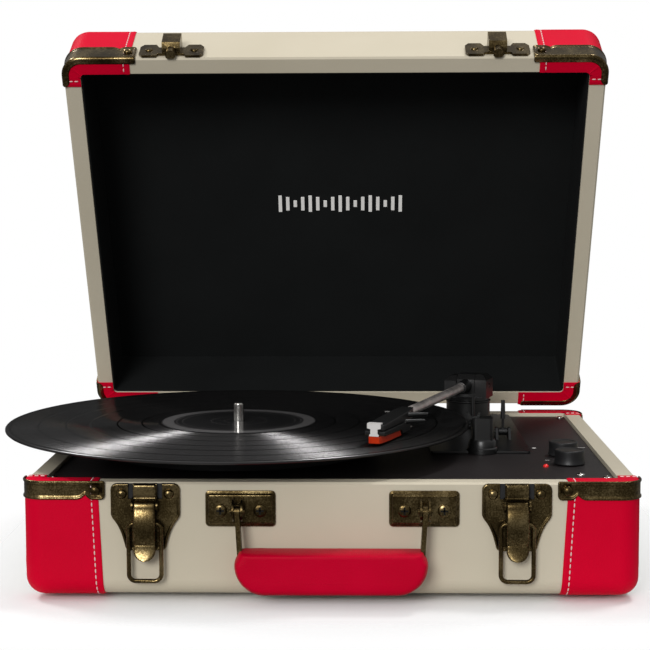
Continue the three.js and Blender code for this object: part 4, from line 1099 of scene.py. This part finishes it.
def build_knob(node, body, y):
    foot = DECK_TOP + 0.5
    top = foot + 8.7
    prof = [(0, 58), (3, 58), (3, foot), (9.3, foot), (9.65, foot + 0.35), (9.65, foot + 0.9), (9.35, foot + 1.5)]
    prof += [(9.15, foot + 3), (9.05, foot + 5), (9.15, foot + 7)]
    turns = [math.pi * i / 12 for i in range(1, 7)]
    prof += [(9.15 - 0.7 * (1 - math.cos(t)), top - 0.7 + 0.7 * math.sin(t)) for t in turns]
    prof += [(7.4, top), (7.1, top - 0.25), (0, top - 0.3)]
    me = lathe_mesh(node + "_body", prof, (KNOB_X, y), 72, closed=False)
    finish_mesh(node + "_body", me, M["knob"], body, "black_plastic", [node], 40)


DECK_SCREWS = ((162.5, -112), (148, -103), (-165, -112), (163, 122), (-165, 122))
LAMP = (130.5, -76)


def on_deck(x, y, profile):
    """A turned part that stands on the deck."""
    return transformed(turned_out(profile, 0, 0, 0, 24), lambda p: Vector((x + p.x, y + p.z, DECK_TOP - p.y)))


def build_deck_details():
    """The deck's screws, the power lamp and the printed marks beside the knobs."""
    screws = []
    for x, y in DECK_SCREWS:
        slots = [join_parts("slot", [box_part(x - a, x + a, y - b, y + b, DECK_TOP + 0.7, DECK_TOP + 3)])
                 for a, b in ((2.0, 0.35), (0.35, 2.0))]
        screws.append(cut(welded("head", [on_deck(x, y, dome(2.7, 1.3, 0.3))]), *slots))
    finish_mesh("deck_screws", merged("deck_screws", screws), M["chrome"], "case", "bright_metal", smooth=35)
    detail("power_lamp", [on_deck(*LAMP, dome(1.7, 1.7, 0.5))], "lamp", "case", "black_plastic", 60)
    z, ink = DECK_TOP, DECK_TOP + 0.08
    marks = [lathe([(0, z), (1.4, z), (1.4, ink), (0, ink)], (130.4, -8.6), 20, closed=False)]
    marks.append(box_part(157.3, 163.6, -7.2, -6.7, z, ink))
    marks.append(box_part(132.4, 135.2, -53.6, -53.1, z, ink))
    finish_mesh("deck_marks", welded("deck_marks", marks), M["white"], "case", "black_painted_metal", smooth=30)


def build_lid_emblem():
    """A plain row of level bars on the lid's back panel, in place of any name."""
    z = LID_RIM_Z + LID_H - 3.5 - 0.3 - 0.8
    bars = []
    count = 17
    for i in range(count):
        x = 2.5 + (i - (count - 1) / 2) * 5.4
        tall = 2.4 + 4.0 * abs(math.cos(i * math.pi / 4))
        bars.append([(x - 1.05, -6 - tall), (x + 1.05, -6 - tall), (x + 1.05, -6 + tall), (x - 1.05, -6 + tall)])
    me = join_parts("lid_emblem", [prism(b, z - 0.6, z - 0.02) for b in bars])
    bevel_mesh(me, 0.15, 2)
    for v in me.vertices:
        v.co = (LID_TURN @ (v.co / MM - HINGE) + HINGE) * MM
    finish_mesh("lid_emblem", me, M["silver_ink"], "lid", "bright_metal", smooth=35)


def along_arm(p):
    """A point drawn along the tonearm (along, across, up) put on its heading."""
    c, s = math.cos(ARM_HEADING), math.sin(ARM_HEADING)
    return Vector((ARM[0] + p.x * c - p.y * s, ARM[1] + p.x * s + p.y * c, p.z))


def build_arm_details():
    """The silver nose plate, the wire tags and pins behind the cartridge, and the stylus guard's gold edge."""
    nose = [(-4.0, 97.0), (-4.0, 94.4), (-2.0, 94.0), (-2.0, 90.9), (-2.7, 90.4), (-2.7, 89.8), (2.7, 89.8),
            (2.7, 90.4), (2.0, 90.9), (2.0, 94.0), (4.0, 94.4), (4.0, 97.0)]
    fold = [(200.6, -4.0), (204.8, -4.0), (204.8, 4.0), (200.6, 4.0)]
    plates = []
    for part in (prism(nose, 204.1, 204.9, "x"), prism(fold, 96.7, 97.3)):
        plates.append(join_parts("nose_plate", [transformed(part, along_arm)]))
        bevel_mesh(plates[-1], 0.2, 2)
    finish_mesh("nose_plate", merged("nose_plate", plates), M["silver"], "arm", "bright_metal", smooth=35)
    tags, pins = [], []
    for along, up in ((152, 95.4), (158, 92.2)):
        path = [Vector((along + 4, 3.5, up)), Vector((along + 1, 8, up + 0.3)), Vector((along - 3, 16, up + 0.5))]
        tags.append(transformed(tube(path, [1.7, 1.4, 1.0], 12), along_arm))
    detail("wire_tags", tags, "plastic", "arm", "black_plastic", 60)
    for across in (3.2, 5.4):
        for up in (87.6, 90.2):
            path = [Vector((153.4, across, up)), Vector((149, across, up))]
            pins.append(transformed(tube(path, 0.55, 10), along_arm))
    detail("cartridge_pins", pins, "chrome", "arm", "bright_metal", 60)
    wedge = [(171.3, 88.75), (202.8, 89.75), (202.8, 90.25), (171.0, 89.35)]
    detail("guard_edge", [transformed(prism(wedge, -6.32, 6.32, "y"), along_arm)], "brass", "arm", "bright_metal", 30)


build_deck_details()
build_lid_emblem()
build_arm_details()
build_record()
build_platter()
build_knob("volume_knob", "volume", -66.8)
build_knob("tone_knob", "tone", -36)


# ---- camera, light, floor
CAMERA_AT = (17.99, -1051.0, 243.7)
LENS, SENSOR = 89.135, 36
YAW, PITCH, ROLL = -0.023, 0.094, -0.003
FLOOR_HALF = 9


def add_camera():
    data = bpy.data.cameras.new("camera")
    data.lens, data.sensor_width, data.clip_end = LENS, SENSOR, 30
    cam = new_object("camera", data)
    cp, sp, cy, sy = math.cos(PITCH), math.sin(PITCH), math.cos(YAW), math.sin(YAW)
    forward = Vector((cp * sy, cp * cy, -sp))
    level = Vector((cy, -sy, 0))
    rise = Vector((sp * sy, sp * cy, cp))
    right = math.cos(ROLL) * level + math.sin(ROLL) * rise
    up = -math.sin(ROLL) * level + math.cos(ROLL) * rise
    m = Matrix((right, up, -forward)).transposed().to_4x4()
    m.translation = Vector(CAMERA_AT) * MM
    cam.matrix_world = m
    bpy.context.scene.camera = cam


def add_floor():
    me = bpy.data.meshes.new("floor")
    s, z = FLOOR_HALF, FLOOR_Z * MM
    me.from_pydata([(-s, -s, z), (s, -s, z), (s, s, z), (-s, s, z)], [], [(0, 1, 2, 3)])
    me.materials.append(make_floor())
    o = new_object("floor", me)


def add_world():
    """White to the camera. As a light it is brightest overhead, dim from below and weaker from behind the case."""
    world = bpy.data.worlds.new("studio")
    world.use_nodes = True
    k = Nodes(world.node_tree)
    co = k.node("ShaderNodeTexCoord").outputs["Generated"]
    way = k.node("ShaderNodeSeparateXYZ", {"Vector": co}).outputs
    soft = {"interpolation_type": "SMOOTHSTEP"}
    high = k.span(way["Z"], 0.05, 0.75, 0.0, 0.2, **soft)
    low = k.span(way["Z"], -0.5, 0.05, 0.16, 0.34, **soft)
    front = k.span(way["Y"], 0.2, 0.95, 1.0, 0.5, **soft)
    light = k.math("MULTIPLY", k.math("ADD", high, low), front)
    seen = k.node("ShaderNodeLightPath").outputs["Is Camera Ray"]
    k.set(k.t.nodes["Background"], {"Color": (1, 1, 1, 1), "Strength": k.math("MAXIMUM", light, seen)})
    bpy.context.scene.world = world


def sun(name, towards, strength, angle):
    """A soft distant light that shines from the direction given."""
    data = bpy.data.lights.new(name, "SUN")
    data.energy, data.angle = strength, math.radians(angle)
    o = new_object(name, data)
    o.rotation_euler = Vector(towards).to_track_quat("Z", "Y").to_euler()


add_camera()
add_floor()
add_world()
sun("key", (-0.3, -0.94, 0.4), 1.9, 24)
sun("top_right", (0.31, 0.25, 0.92), 1.15, 11)
sun("left", (-0.55, 0.4, 0.73), 1.35, 12)
view = bpy.context.scene.view_settings
view.view_transform = "Standard"
view.look = "None"
